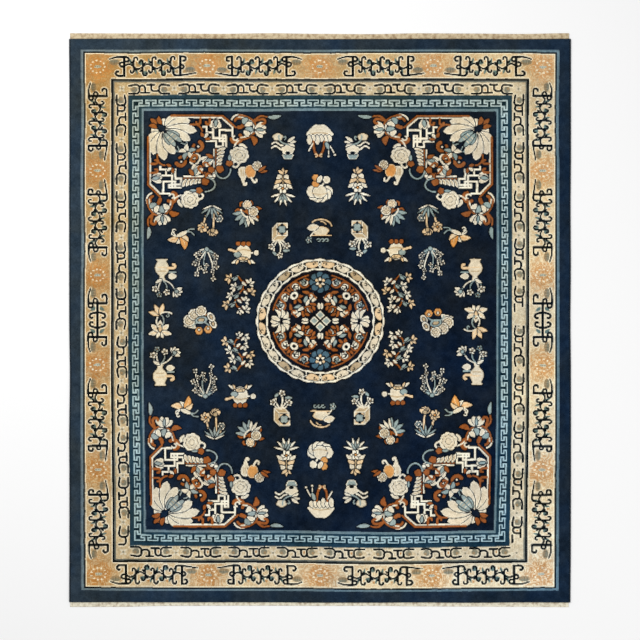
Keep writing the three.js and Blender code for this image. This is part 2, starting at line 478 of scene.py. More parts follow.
# The medallion's middle, a square nearer than the carpet's, and its length as a share of its width
MEDALLION_MIDDLE = (0, 1)
MEDALLION_SQUASH = 0.968


def medallion_ring(chart):
    """A cream ring of curled cells between two scalloped white lines."""
    pen = Pen(chart, MEDALLION_MIDDLE, ((1, 0), (0, MEDALLION_SQUASH)))
    a = np.arange(0, 360, 2)
    swell = np.abs(np.cos(np.radians(14 * a)))[:, None]
    pen.area(circle(a, 1) * (63 + 1.6 * swell), WHITE, straight=True)
    pen.area(circle(a, 1) * 62.2, INK, straight=True)
    pen.area(circle(a, 1) * 54.4, WHITE, straight=True)
    pen.area(circle(a, 1) * (53.4 - 1.2 * swell), DEEP, straight=True)
    for n in range(24):
        cell = n % 12
        at = pen.moved(turn=7.5 + 15 * n - 90).moved((0, 58.4), flip=n // 6 % 2 == 0)
        comma(at, RING_FILLS[min(cell, 11 - cell)])


def pale_bloom(pen):
    """The cream flower on each side of the medallion, x towards the ring."""
    pen.fan(3, -26, 26, 1, 11, 4.6, CREAM, 1.3)
    pen.fan(2, 168, 192, 1, 9, 4, CREAM, 1.2)
    for side in (-1, 1):
        for n in range(3):
            pen.moved(turn=side * (62 + 30 * n)).leaf((3, 0), (14 - n, 0), 4, CREAM, side * 2.2)


def blue_bloom(pen):
    """The blue flower at each end of the medallion."""
    pen.fan(8, 0, 315, 2, 11.5, 7.4, LOTUS, 1.4, rim=DEEP)
    pen.fan(6, 30, 330, 0.5, 5.6, 3, PEACH, 1.1)
    pen.fan(3, 90, 330, 0.5, 5, 2.4, WHITE, 1.1)
    pen.disc((0, 0), 1, INK)


def medallion_vines(pen):
    """The scrolls of one eighth, between the flower on its axis and the diagonal."""
    pen.line(arc(14, 45, 48.5), 1.4, RUST)
    for n in range(2):
        scroll = pen.moved(turn=21 + 15 * n).moved((43, 0))
        scroll.curl((0, 0), 6, 3, 100 + 150 * n, 300, 1.8, RUST)
        scroll.curl((0, 0), 4.4, 2.4, 60 + 150 * n, 200, 1.3, CREAM)
        scroll.fan(3, 150 * n, 150 * n + 110, 0, 4, 2.4, (SKY, WHITE)[n])
    for n in range(5):
        leaf = pen.moved(turn=12 + 7 * n).moved((30 + 3 * (-1) ** n, 0))
        leaf.moved(turn=(55, -50)[n % 2]).leaf((-4, 0), (4, 0), 3.4, (RUST, CREAM, RUST, SKY, RUST)[n])
    for n in range(4):
        leaf = pen.moved(turn=15 + 9 * n).moved((21 + 2 * (-1) ** n, 0))
        leaf.moved(turn=(-60, 50)[n % 2]).leaf((-4, 0), (4, 0), 3.2, (CREAM, RUST)[n % 2])
    pen.moved(turn=10).sprout((24, 0), 30, 5, 2.6, 1.6, RUST)
    pen.moved(turn=45).fan(3, -50, 50, 12, 19, 3.4, CREAM)
    for turn in (27, 41):
        pen.moved(turn=turn).leaf((12, 0), (18, 0), 3, RUST)


def medallion(chart):
    """The ring, then eight eighths of scrolls with four rosettes, four flowers and the heart."""
    medallion_ring(chart)
    for x in (-1, 1):
        for y in (-MEDALLION_SQUASH, MEDALLION_SQUASH):
            quarter = Pen(chart, MEDALLION_MIDDLE, ((x, 0), (0, y)), parting=DEEP)
            medallion_vines(quarter)
            medallion_vines(Pen(chart, MEDALLION_MIDDLE, ((0, x), (y, 0)), parting=DEEP))
            rosette = quarter.moved(turn=45).moved((37, 0))
            rosette.fan(2, 0, 180, 5, 11, 3, RUST)
            rosette.disc((0, 0), 3.6, WHITE, 4.4)
            rosette.disc((0, 0), 1.2, INK)
    pen = Pen(chart, MEDALLION_MIDDLE, ((1, 0), (0, MEDALLION_SQUASH)), parting=DEEP)
    for turn in (0, 180):
        pale_bloom(pen.moved(turn=turn).moved((39, 0)))
        blue_bloom(pen.moved(turn=turn).moved((0, 40)))
    for turn in (0, 90, 180, 270):
        heart = pen.moved(turn=turn)
        heart.area([(2, 0), (6, -4), (10, 0), (6, 4)], SKY, WHITE, 1, straight=True)
        heart.line([(2, 2), (7, 7)], 1.6, INK)


def lotus_half(pen):
    """Half of the large lotus on the corner's diagonal; the arm's mirror pen draws the other half."""
    base = pen.moved((16, 16), 45)
    for turn, reach, wide in ((112, 11, 6), (86, 18, 8), (62, 27, 9), (39, 32, 10), (17, 29, 9)):
        petal = base.moved(turn=turn)
        petal.leaf((3, 0), (reach, 0), wide, CREAM, 1.5, 1.5)
        petal.line([(reach * 0.45, 0), (reach * 0.72, 0)], 0.9, FAINT)
    for turn, reach in ((16, 18), (5, 23)):
        base.moved(turn=turn).leaf((5, 0), (reach, 0), 4.8, SKY, 0, 1.2)
    for n in range(3):
        base.line([(11 + 3 * n, 0), (11 + 3 * n, 2.4)], 0.9, (CREAM, TAN, CREAM)[n])
    base.sprout((24, 1), 20, 3, 2.2, 1.2, SKY)
    base.moved(turn=180).leaf((6, 0), (15, 0), 4.6, RUST, 0, 0.9)
    base.moved(turn=150).leaf((4, 0), (13, 0), 4.6, RUST, 1, 0.9)


def key_steps(pen, moves):
    """A squared key walked in steps of three squares, by turns across and up."""
    place, path = np.zeros(2), [np.zeros(2)]
    for n, move in enumerate(moves):
        place = place + ((3 * move, 0) if n % 2 == 0 else (0, 3 * move))
        path.append(place)
    pen.key(path, 2, WHITE)


def frond(pen, count):
    """Leaves slanting off a straight rib."""
    pen.line([(0, -2.4), (4 * count + 2, -2.4)], 1.6, CREAM, straight=True)
    pen.line([(0, 0), (4 * count + 4, 0)], 2, RUST, straight=True)
    for n in range(count):
        pen.leaf((4 * n + 2, 0), (4 * n - 2, 9 - n), 3.8, CREAM, 0, 1, TAN)


def eyed_scroll(pen):
    """A thick rust scroll round a white eye."""
    pen.curl((0, 0), 5.4, 3.4, 150, -270, 4, RUST, 2.6)
    pen.leaf((2, -2), (9, -8), 5.4, RUST)
    pen.disc((0, 1), 1, WHITE)


def arch(pen):
    """A bowed end with leaves in and over it, a crown bud, a rust hook and a tail leaf."""
    pen.line(arc(0, 180, 13, 16), 1.8, RUST)
    pen.line(arc(8, 180, 11, 14), 1.5, CREAM)
    for n in range(4):
        turn = 35 + 38 * n
        pen.moved((0, 2), turn).leaf((4, 0), (12, 0), 5, (CREAM, SKY)[n % 2], 1, 1.2)
    crown = pen.moved((2, 15), 86)
    crown.fan(4, -48, 48, 0, 11, 5, CREAM, 1.3)
    crown.leaf((1, 0), (9, 0), 2.6, SKY)
    pen.blade((9, 12), 10, 11, 5.4, RUST, 2)
    pen.sprout((-7, 14), 105, 7, -3.6, 2.6, RUST)
    pen.line([(-7, 14), (-12, 20), (-11, 28)], 2.4, RUST, 1.4)
    pen.blade((-11, 27), 96, 13, 4, SKY, -0.8)


def spandrel_half(pen):
    """One arm of the corner design, set out in steps of three squares: x inward, y along the side."""
    lotus_half(pen)
    pen.line([(3, 24), (3, 72), (15, 84)], 1.9, RUST, straight=True)
    pen.line([(5, 24), (5, 71), (15, 81), (24, 81)], 1.6, CREAM, straight=True)
    key_steps(pen.moved((24, 81)), (-2, -4, 4, 2, -2, -1, 4, -2, -2, -2))
    key_steps(pen.moved((36, 75)), (-3, -4, -2, -2, 3, 1, -1))
    key_steps(pen.moved((15, 63)), (2, -2, -2, -1))
    bud = pen.moved((6, 66))
    bud.fan(3, -30, 18, 0, 11, 5, CREAM, 1.2)
    bud.moved(turn=-6).leaf((1, 0), (9, 0), 3, SKY)
    for n in range(2):
        pen.sprout((6, 51 + 9 * n), 0, 4, -2.6, 2.4, RUST)
    pen.curl((21, 45), 9, 8, 200, -100, 1.8, RUST)
    frond(pen.moved((39, 66)), 5)
    hanging = pen.moved((48, 63), -60)
    hanging.fan(3, -24, 24, 0, 12, 5, CREAM, 1.1)
    hanging.leaf((0, 0), (10, 0), 3, SKY)
    hanging.moved(turn=-60).leaf((0, 0), (8, 0), 4, RUST)
    pen.curl((51, 45), 4.4, 2.6, 60, -250, 1.8, CREAM)
    eyed_scroll(pen.moved((36, 48)))
    for n in range(3):
        pen.moved((42, 39), 40 + 70 * n).leaf((1, 0), (9, 0), 4, (CREAM, SKY, CREAM)[n], 1)
        pen.moved((27, 54), 80 + 60 * n).leaf((1, 0), (7, 0), 3.2, (RUST, CREAM, RUST)[n])
    pen.sprout((45, 48), -60, 5, 3.2, 2.2, RUST)
    pen.sprout((57, 60), -140, 4, 2.8, 2, RUST)
    for n in range(3):
        pen.bloom((60 + 3 * n, 69 - 6 * n), 4 - 0.3 * n, 5, RUST, 0.2)
    pen.disc((69, 63), 1.7, WHITE)
    pen.blade((63, 63), 20, 5, 2.4, CREAM)
    # peony at the arm's middle, with the scroll that bears it
    pen.curl((27, 84), 5.6, 4, 130, -210, 3.4, RUST)
    pen.curl((27, 84), 2.8, 1.6, 200, 240, 1.5, CREAM)
    pen.line(arc(200, 290, 14, 8) + (42, 90), 1.6, CREAM)
    pen.blade((33, 87), 60, 9, 4.6, CREAM)
    peony(pen, (45, 87), 9.4)
    pen.sprout((54, 87), -20, 2, -3.6, 1.9, CREAM)
    pen.bloom((54, 78), 3.4, 5, RUST, 0.2)
    pen.blade((51, 78), 180, 7, 2.6, SKY)
    pen.line(arc(90, -80, 10, 7) + (60, 72), 1.5, SKY)
    # cloud curl by the frame
    pen.curl((9, 87), 6, 3.6, 0, 250, 4, RUST, 2.6)
    pen.curl((9, 87), 8.6, 7, 60, 190, 1.6, CREAM)
    arch(pen.moved((15, 87)))


def spandrel(pen):
    """Both arms of a corner, from the field's corner; the arm along the end is longer and narrower."""
    longer, narrower = 1.08, 0.94
    for matrix in (((0, longer), (-narrower, 0)), ((1, 0), (0, -1))):
        spandrel_half(Pen(pen.chart, pen.at, matrix, parting=NAVY))


def spray(pen, root, turns, reaches, lean, yarns, width=1.2):
    """Bent stems that rise from one root at given turns; returns where they end."""
    tips = []
    for n, turn in enumerate(turns):
        stem, reach = pen.moved(root, turn), reaches[n % len(reaches)]
        stem.line([(0, 0), (reach / 2, lean * np.sign(turn + 90)), (reach, 0)], width, yarns[n % len(yarns)])
        tips.append(np.asarray(root) + circle([turn], reach)[0])
    return tips


def butterfly(pen):
    """Two pairs of wings over a short body, curled feelers and two long tails."""
    for turn, reach, wide, yarn, vein in ((-165, 14, 6, PEACH, APRICOT), (-120, 9, 4, CREAM, PEACH),
                                          (-72, 14, 7, APRICOT, PEACH), (-35, 10, 4, PEACH, CREAM)):
        pen.blade((0, 1), turn, reach, wide, yarn, 1.6, 0.9, vein)
    pen.moved((1, 3), 24).leaf((-6, 0), (8, 0), 4, CREAM)
    for n in range(2):
        pen.sprout((-5, 1 + n), 155 - 25 * n, 3 + n, -2.4, 1.1, CREAM)
        pen.moved((6, 5), 45 * n - 15).line([(0, 0), (4, 1), (8, -1)], 1.2, SKY)


def vase(pen):
    """A vase of flowers beside a low dish on a hooked stand."""
    pot = pen.moved((-4, 5))
    pot.vessel([(2.6, -8), (2, -5), (6, 0), (6.4, 5), (4, 10), (5, 12)], CREAM, FAINT)
    pot.line([(-4, 0), (4, 0)], 0.9, TAN)
    pot.line([(-4, 4), (4, 4)], 1, PEACH)
    pen.leaf((2, 0), (11, 0), 6.4, CREAM)
    pen.line([(3, 4), (10, 4)], 1.3, SKY)
    pen.sprout((2, 8), 0, 5, 2.6, 2.6, PEACH)
    tips = spray(pen, (-4, -3), (-125, -100, -70, -40), (12, 16, 14, 18), 2, (SKY, CREAM))
    for n, tip in enumerate(tips):
        blossom(pen, tip, 3 - 0.4 * (n % 2), (CREAM, SKY)[n % 2], 5, 20 * n)
    pen.moved(tips[3], -45).fan(5, -70, 70, 0, 7, 4, CREAM)
    pen.moved(tips[3], -45).disc((1, 0), 1.8, SKY)
    pen.blade((-4, -3), -150, 8, 3.2, CREAM)


def prunus_spray(pen):
    """Thin flowering twigs that spread from one root."""
    root, turns, reaches = (-3, 14), (-150, -130, -112, -95, -78, -62, -40), (12, 19, 27, 22, 30, 20)
    for n, tip in enumerate(spray(pen, root, turns, reaches, 2, (CREAM, SKY))):
        blossom(pen, tip, 2.4, (WHITE, CREAM)[n % 2], 4, 20 * n)
        blossom(pen, (tip * 0.75 + np.array(root) * 0.25) + (1, 0), 2, WHITE, 4, 30 * n)
    pen.blade(root, -30, 8, 2.4, SKY)
    pen.disc(root, 2, SKY)


def blossom_branch(pen):
    """A winding branch with ragged flowers set to either side of it, and leaves between them."""
    y = np.linspace(-17, 17, 12)
    x = 4 * np.sin(y / 5)
    pen.line(np.stack([x, y], 1), 1.4, RUST)
    for n in range(8):
        side, row = (-1) ** n, 4.4 * n - 16
        foot = np.interp(row + 3, y, x)
        at = (foot + side * 8.5, row)
        pen.line([(foot, row + 3), (at[0] - side * 2, row)], 1.1, (RUST, SKY)[n % 2])
        pen.moved(at, 90 - 60 * side).fan(4, -75, 105, 0, 5.4, 2.6, (CREAM, PEACH, CREAM)[n % 3])
        pen.moved((foot, row + 2), 90 - 130 * side).leaf((1, 0), (7, 0), 2.6, (CREAM, SKY)[n % 2])
    pen.moved((x[0], -17), -90).fan(3, -50, 50, -1, 5, 2.6, CREAM)


def meadow_plant(pen):
    """Three flowers over a tuft of narrow leaves."""
    tips = spray(pen, (0, 15), (-112, -88, -62), (24, 25, 15), 1.4, (PEACH,), 1.7)
    blossom(pen, tips[0], 4.6, PEACH, 7, 0, APRICOT)
    pen.moved(tips[1], -90).fan(5, -60, 60, -2, 6, 4.2, PEACH, 1.1)
    pen.disc(tips[1], 2, TAN)
    for radius, lobes, yarn in ((3.8, 6, WHITE), (2.4, 5, SKY), (1, 4, CREAM)):
        pen.bloom(tips[2], radius, lobes, yarn, 0.2)
    root = pen.moved((0, 15), -90)
    root.fan(5, -52, 52, 0, 14, 2, SKY)
    root.fan(2, -66, 66, 0, 11, 1.5, CREAM)


def footed_pot(pen):
    """A round covered pot on three ball feet, with a spout and a ring handle."""
    pen.vessel([(2, -9), (5, -7), (7.4, -3), (7, 2), (5, 6), (3, 8)], CREAM)
    pen.disc((0, -6), 4.6, PEACH, 1.8)
    pen.curl((1, -5), 2.6, 1, 190, 200, 0.9, DULL)
    pen.disc((-6, -2), 3.6, SKY, 2.6)
    pen.line([(-7, 2), (0, 3), (7, 2)], 1.4, TAN)
    pen.line([(7, 0), (11, 0)], 1.3, CREAM)
    pen.disc((13, 0), 2.6, CREAM)
    pen.line([(-7, 1), (-14, 3)], 2, PEACH, 2.6)
    for side in (-1, 1):
        pen.blade((5 * side, -7), -90 + 60 * side, 8, 2.8, CREAM)
        pen.blade((5 * side, -7), -90 + 25 * side, 5, 2.2, PEACH)
    for x in (-5, 0, 5):
        pen.bloom((x, 9), 2.4, 5, RUST)


def planter(pen):
    """A square box seen from its corner, its front set with a flower, and stems growing from it."""
    wide, tall, back = 10, 12, np.array((-5, -5))
    front = np.array([(-3, 0), (-3 + wide, 0), (-3 + wide, tall), (-3, tall)])
    outline = [front[0] + back, front[1] + back, front[1], front[2], front[3], front[3] + back]
    pen.area(outline, PEACH, CREAM, 1.4, straight=True)
    pen.area([front[0], front[0] + back, front[3] + back, front[3]], TAN, CREAM, 1, straight=True)
    pen.area([front[0], front[1], front[1] + back, front[0] + back], TAN, CREAM, 1, straight=True)
    middle = front.mean(0)
    pen.bloom(middle, 4.2, 4, SKY, 0.35, 45)
    for turn in (0, 90, 180, 270):
        pen.moved(middle, turn).disc((4.4, 0), 0.8, INK)
    tips = spray(pen, (-2, -4), (-135, -108, -84, -60, -35), (10, 14, 16, 13, 11), 1.6, (CREAM,), 1.4)
    for n, tip in enumerate(tips):
        if n % 2:
            pen.moved(tip, -60 + 20 * n).leaf((-2, 0), (6, 0), 2.8, SKY)
        else:
            blossom(pen, tip, 3, CREAM, 5, 15 * n)


def peony_cluster(pen):
    """Two peonies low in a spray of leaves and rust tendrils."""
    heart = pen.moved((0, 1))
    for n in range(5):
        heart.sprout((0, 0), 50 * n - 40, 9, 2.8, 2, RUST)
    heart.fan(4, -175, -95, 3, 15, 4, SKY)
    heart.fan(3, -84, -36, 3, 14, 3, CREAM)
    heart.line(arc(180, 250, 9, 8) + (3, 3), 1.4, CREAM)
    heart.moved(turn=15).leaf((6, 0), (15, 0), 4, RUST, 1.6)
    peony(pen, (6, 2), 5, CREAM, TAN)
    peony(pen, (0, 9), 4.4, CREAM, PEACH)


def leafy_sprig(pen):
    """A bush of narrow and broad leaves round one flower, on a short stem."""
    pen.line([(0, 17), (0, -8)], 1.4, TAN)
    crown = pen.moved((0, -5), -90)
    crown.fan(6, -76, 76, 2, 13, 2.2, WHITE)
    crown.fan(3, -30, 30, 0, 9, 2, SKY)
    for n in range(3):
        for side in (-1, 1):
            leaf = pen.moved((0, 5 + 4 * n), 90 - 118 * side)
            leaf.leaf((1, 0), (11 - 2 * n, 0), 4.4, (CREAM, PEACH, CREAM)[n], side)
    blossom(pen, (0, 0), 4.6, WHITE, 6, 0, APRICOT)
    pen.moved((0, 15), 90).fan(3, -55, 55, -1, 6, 3, PEACH)


def cloud_fungus(pen):
    """Two cloud-headed fungi, one over the other, tied with ribbons."""
    heads = ((4, -8, 5.4, SKY, CREAM), (4, -2, 7, CREAM, None), (-6, 11, 5, CREAM, FAINT))
    for x, y, size, yarn, rim in heads:
        pen.bloom((x, y), size, 5, yarn, 0.18, 90, rim, 0.7)
    pen.disc((4, -5), 2, INK, 0.8)
    x = np.linspace(0, 11, 8)
    for shift in (0, 4):
        pen.line(np.stack([x - 12, 1.8 * np.sin(x / 2.2) + shift], 1), 1.6, CREAM)
    pen.line(arc(170, 280, 12, 8) + (7, 11), 1.5, SKY)
    pen.moved((4, 6)).fan(3, -35, 35, 0, 9, 3.2, CREAM)
    pen.sprout((1, 8), 60, 2, 1.4, 1.2, SKY)


def gourds(pen):
    """A fluted gourd, a ripe fruit and a peony, with two rust leaves."""
    gourd = pen.moved((-6, 0))
    gourd.vessel([(1, -9), (2.4, -5), (5, 0), (4.4, 5), (1, 7)], CREAM)
    for x in (-2, 0, 2):
        gourd.line([(x, -2), (x, 4)], 0.8, TAN)
    gourd.sprout((0, -8), -80, 2, 1.8, 2.2, CREAM)
    pen.disc((1, 2), 5, APRICOT, 6.4, 15, PEACH)
    pen.sprout((2, -4), -60, 4, 2.4, 1.9, CREAM)
    peony(pen, (8, 8), 4.8, CREAM, TAN)
    pen.moved((9, 2)).fan(2, 5, 35, 0, 10, 3, RUST)


def boat_of_flowers(pen):
    """A shallow boat-shaped bowl with a leaf beside it, reeds and curling vapour."""
    pen.vessel([(10, -5), (5, -5), (8, 0), (3, 3)], CREAM, PEACH)
    pen.blade((2, 4), -12, 12, 7, CREAM, 0, 1, PEACH)
    pen.line(arc(170, 40, 11, 8) + (0, 3), 1.4, PEACH)
    pen.line(arc(150, 90, 6, 6) + (0, 3), 1.1, PEACH)
    pen.line([(6, -1), (9, -4), (12, -9)], 1.3, CREAM)
    blossom(pen, (12, -10), 3, SKY, 5, 0, CREAM)
    for x in (-6, -2, 2):
        pen.curl((x, -10), 1.8, 1.2, 20, 260, 1.1, SKY)


def broad_leaf_pot(pen):
    """A mound of broad round leaves over three small fruits."""
    for n in range(6):
        pen.bloom(circle([180 + 36 * n], 7, 5)[0] + (0, -3), 6, 7, CREAM, 0.06)
    pen.bloom((0, -3), 7, 7, CREAM, 0.06)
    pen.line(arc(200, 340, 8, 3) + (0, -3), 0.9, TAN)
    pen.line([(-3, 4), (-6, 9)], 1.8, CREAM)
    pen.bloom((-7, 9), 3.8, 7, CREAM, 0.12)
    for y in (5, 11):
        pen.bloom((4, y), 3.6, 6, APRICOT, 0.12)
    pen.blade((-2, 13), -60, 8, 4.6, CREAM, 0, 1.1)


def flower_basket(pen):
    """A round basket of petals under a hooped handle."""
    pen.vessel([(12, 4), (11, 9), (6, 14), (3, 15)], CREAM)
    pen.line([(-8, 6), (0, 7), (8, 6)], 1.1, TAN)
    for n in range(6):
        pen.leaf((4 * n - 9, 5), (4 * n - 10, -2 - 3 * (n % 2)), 4.8, CREAM, 0, 1.1)
    pen.line(arc(180, 360, 5.4, 14) + (1, -2), 2.3, RUST)
    for side in (-1, 1):
        pen.curl((side * 2.6 + 1, -16), 1.8, 0.8, 90 - 30 * side, side * 260, 1.2, PEACH)
    tips = spray(pen, (-6, -2), (-125, -102), (16, 15), 1, (CREAM,))
    pen.blade((-6, -2), -112, 9, 3.8, SKY)
    for tip in tips:
        pen.disc(tip, 1.1, CREAM)
    pen.line([(7, -4), (11, -11)], 1.4, CREAM)


def side_lotus(pen):
    """A pointed lotus on a looped stem under a pair of broad leaves."""
    cup = pen.moved((0, 10), -90)
    cup.fan(5, -100, 100, 0, 12, 5, CREAM, 0.9, PEACH)
    cup.fan(2, 150, 210, 0, 7, 3.4, CREAM, 0.9)
    cup.leaf((0, 0), (8, 0), 3, PEACH)
    for side, yarn in ((-1, SKY), (1, CREAM)):
        pen.line(arc(90, 270, side * 3.6, 6) + (0, -1), 1.3, yarn)
    pen.moved((0, -7)).fan(3, -165, -75, 0, 12, 4.6, PEACH, 0.9, CREAM)
    pen.line(arc(200, 340, 6, 3) + (6, -7), 1.3, CREAM)
    pen.sprout((8, -9), 70, 2, 1.8, 1.1, SKY)


def fruit_cluster(pen):
    """Fruits and round flowers in a ring about a covered dish."""
    for n in range(8):
        spot = circle([45 * n + 10], 12, 9)[0]
        if n in (4, 5):
            peony(pen, spot, 6, CREAM, TAN)
        elif n in (0, 7):
            pen.disc(spot, 5, CREAM, 3.2, 60)
            pen.disc(spot, 2.4, TAN, 1.4, 60)
        elif n == 3:
            pen.moved(spot, 190).leaf((-5, 0), (8, 0), 6, CREAM, 2, 0.9)
        else:
            pen.bloom(spot, 3.8, 6, APRICOT, 0.1)
            pen.disc(spot - (0, 1), 1.1, CREAM)
    peony(pen, (0, -11), 5.4, CREAM, TAN)
    pen.disc((0, -2), 6.2, SKY, 3.6, -12)
    pen.disc((0, -2), 3.2, TAN, 1.8, -12)
    pen.line(arc(180, 340, 8, 5) + (0, 5), 1.3, SKY)


# The field's motifs in each quarter: the middle of the near left one, or its corner for the corner design,
# and how many squares the near right, far left and far right ones stand off from its mirror places
MOTIFS = [
    (butterfly, (-136, 88), (-3, -1), (-3, -5), (-1, -3)),
    (vase, (-156, 48), (3, -1), (2, -4), (5, -4)),
    (prunus_spray, (-112, 62), (3, -1), (2, -5), (5, -4)),
    (blossom_branch, (-82, 33), (2, -2), (1, -6), (4, -5)),
    (meadow_plant, (-106, 104), (0, -2), (-2, -4), (-2, -3)),
    (footed_pot, (-80, 76), (2, -3), (3, -8), (4, -6)),
    (planter, (-38, 93), (-4, -2), (-2, -8), (-1, -6)),
    (peony_cluster, (-70, 113), (-1, -3), (-3, -6), (-2, -5)),
    (leafy_sprig, (-34, 135), (-2, -1), (-3, -3), (-4, -2)),
    (cloud_fungus, (-33, 172), (-3, -1), (-3, 1), (-4, 1)),
    (gourds, (-69, 149), (-2, -1), (-2, -2), (-3, -1)),
    (spandrel, (-174, 209), (0, -1), (-1, -1), (-1, -1)),
]

# Motifs on the middle lines: the middle of each, and of its copy turned half round
MIDDLE_MOTIFS = [
    (boat_of_flowers, (1, 96), (1, -90)),
    (broad_leaf_pot, (0, 135), (0, -132)),
    (flower_basket, (1, 182), (0, -181)),
    (side_lotus, (-160, 2), (156, 1)),
    (fruit_cluster, (-119, 2), (116, 1)),
]


def draw_rug():
    """The whole design: four quarters with their own motifs, then what lies on the middle lines."""
    quarter = Chart(-HALF_WIDE, 0, 0, HALF_LONG, BAND)
    draw_bands(quarter)
    fret(quarter)
    main_border(quarter)
    corners = []
    for n in range(4):
        corner = Chart(-HALF_WIDE, 0, 0, HALF_LONG, BAND)
        corner.grid = quarter.grid.copy()
        for motif, place, *shifts in MOTIFS:
            shift = ((0, 0), *shifts)[n]
            motif(Pen(corner, np.add(place, shift), parting=NAVY))
        corners.append(corner.grid)
    near_half = np.concatenate([corners[0], corners[1][:, ::-1]], axis=1)
    far_half = np.concatenate([corners[2], corners[3][:, ::-1]], axis=1)
    rug = Chart(-HALF_WIDE, -HALF_LONG, HALF_WIDE, HALF_LONG, BAND)
    rug.grid = np.concatenate([far_half[::-1], near_half], axis=0)
    minor_border(rug)
    medallion(rug)
    for motif, first, second in MIDDLE_MOTIFS:
        motif(Pen(rug, first, parting=NAVY))
        motif(Pen(rug, second, turn=180, parting=NAVY))
    return rug.grid


def outlined(grid):
    """A fine dark line round every motif on the navy, a bright edge on the cream, and one beside the ink."""
    field = (grid == NAVY) | (grid == DEEP)
    motif = np.isin(grid, [CREAM, WHITE, RUST, PEACH, APRICOT, SKY, TAN, LOTUS, FAINT])
    glow = np.isin(grid, [SAND, GROUND, BLUSH]) & near(grid == INK, 4)
    out = grid.copy()
    out[field & near(motif, 5)] = SHADOW
    out[(grid == CREAM) & near(field, 3)] = WHITE
    out[glow] = GLOW
    return out


# Dyes of the yarns in sRGB from 0 to 255: the middle of the carpet, the change towards the right edge
# and the change towards the far edge
DYES = {
    NAVY: ((21, 32, 46), (-8, -8, -6), (4, 2, -2)),
    CREAM: ((223, 210, 182), (2, 1, 2), (-4, -5, -7)),
    WHITE: ((247, 238, 214), (0, 0, 0), (-2, -3, -4)),
    RUST: ((152, 88, 43), (-8, -4, 2), (-4, 0, 0)),
    PEACH: ((229, 198, 154), (0, 0, 0), (-4, -6, -8)),
    APRICOT: ((214, 152, 86), (4, 0, -4), (-6, -8, -6)),
    SKY: ((150, 165, 160), (-4, 2, 4), (-4, -4, -6)),
    LOTUS: ((72, 102, 118), (-4, 0, 4), (6, 2, -6)),
    INK: ((12, 17, 20), (0, 1, 2), (2, 1, 0)),
    TAN: ((186, 162, 124), (4, 4, 4), (-4, -6, -8)),
    SAND: ((203, 181, 140), (24, 31, 37), (-15, -20, -26)),
    GROUND: ((204, 187, 151), (12, 19, 27), (-8, -11, -15)),
    GUARD: ((104, 124, 132), (-3, 3, 7), (5, 2, -2)),
    BAND: ((34, 47, 60), (-10, -9, -6), (4, 3, 1)),
    TEAL: ((36, 60, 71), (-4, -1, 3), (7, 4, -2)),
    FRET: ((20, 40, 48), (-4, 0, 5), (5, 1, -6)),
    GREY: ((108, 110, 100), (0, 2, 4), (2, 0, -2)),
    FIELD_LINE: ((112, 134, 140), (-3, 2, 5), (4, 3, 0)),
    SHADE: ((136, 132, 112), (4, 6, 8), (-4, -4, -4)),
    FRET_LINE: ((182, 204, 203), (4, 8, 14), (9, 2, -6)),
    BLUSH: ((196, 142, 86), (10, 14, 18), (4, 2, 0)),
    MIST: ((188, 190, 170), (2, 4, 8), (-4, -4, -6)),
    SHADOW: ((9, 14, 22), (0, 0, 0), (0, 0, 0)),
    DEEP: ((18, 21, 31), (0, 0, 0), (0, 0, 0)),
    DULL: ((120, 112, 88), (2, 4, 6), (-4, -4, -4)),
    FAINT: ((205, 190, 160), (2, 1, 2), (-4, -5, -7)),
    GLOW: ((246, 231, 198), (2, 4, 6), (-3, -5, -8)),
    HAZE: ((95, 115, 108), (0, 3, 6), (3, 1, -2)),
    BROWN: ((158, 134, 100), (2, 4, 6), (-4, -4, -4)),
}


def linear(colour):
    """sRGB from 0 to 1 to linear light, by the standard curve."""
    colour = np.clip(colour, 0, 1)
    return np.where(colour <= 0.04045, colour / 12.92, ((colour + 0.055) / 1.055) ** 2.4)


def drift(rows, columns, cell, rng):
    """Smooth random values from -1 to 1: a coarse random grid, eased between its points."""
    coarse = rng.uniform(-1, 1, (rows // cell + 3, columns // cell + 3))
    y, x = np.arange(rows) / cell, np.arange(columns) / cell
    j, i = y.astype(int), x.astype(int)
    v, u = (y - j)[:, None], (x - i)[None]
    u, v = u * u * (3 - 2 * u), v * v * (3 - 2 * v)
    a, b = coarse[np.ix_(j, i)], coarse[np.ix_(j, i + 1)]
    c, d = coarse[np.ix_(j + 1, i)], coarse[np.ix_(j + 1, i + 1)]
    return (a + (b - a) * u) * (1 - v) + (c + (d - c) * u) * v


def yarn_at(chart, across, along):
    """The chart's yarn under points given in squares: across to the right, along to the near end."""
    i = np.clip(((across + HALF_WIDE) * FINE).astype(int), 0, chart.shape[1] - 1)
    j = np.clip(((along + HALF_LONG) * FINE).astype(int), 0, chart.shape[0] - 1)
    return chart[j, i]


def warm_places(across, along):
    """How far the main border's ground turns apricot: 1 at a bloom's heart, 0 away from every bloom."""
    warm = np.zeros(across.shape)
    for x, y in BLOOMS:
        away = np.hypot(np.abs(across) - x, np.abs(along) - y)
        warm = np.maximum(warm, np.exp(-(away / 15) ** 2))
    return warm


def pulled(across, along):
    """The weave's own warp: the bands draw in at the near corners and bow a little at both ends."""
    away, near_share = np.abs(across), np.clip((along - 40) / 180, 0, 1)
    reach = np.minimum(away / 177, np.clip((237 - away) / 60, 0, 1) ** 0.6)
    narrow = 2.4 * reach * near_share**2 * (3 - 2 * near_share)
    bow = 1.7 * np.exp(-((across - 65) / 80) ** 2) - 0.5 * np.exp(-((across + 190) / 50) ** 2)
    near_end = np.interp(along, [0, 211, 241, 268, 284], [0, 1, 1, 0.8, 0.5])
    far_end = np.interp(-along, [0, 211, 241, 268], [0, 1, 1, 0])
    return across + np.sign(across) * narrow, along - bow * near_end - 0.9 * far_end


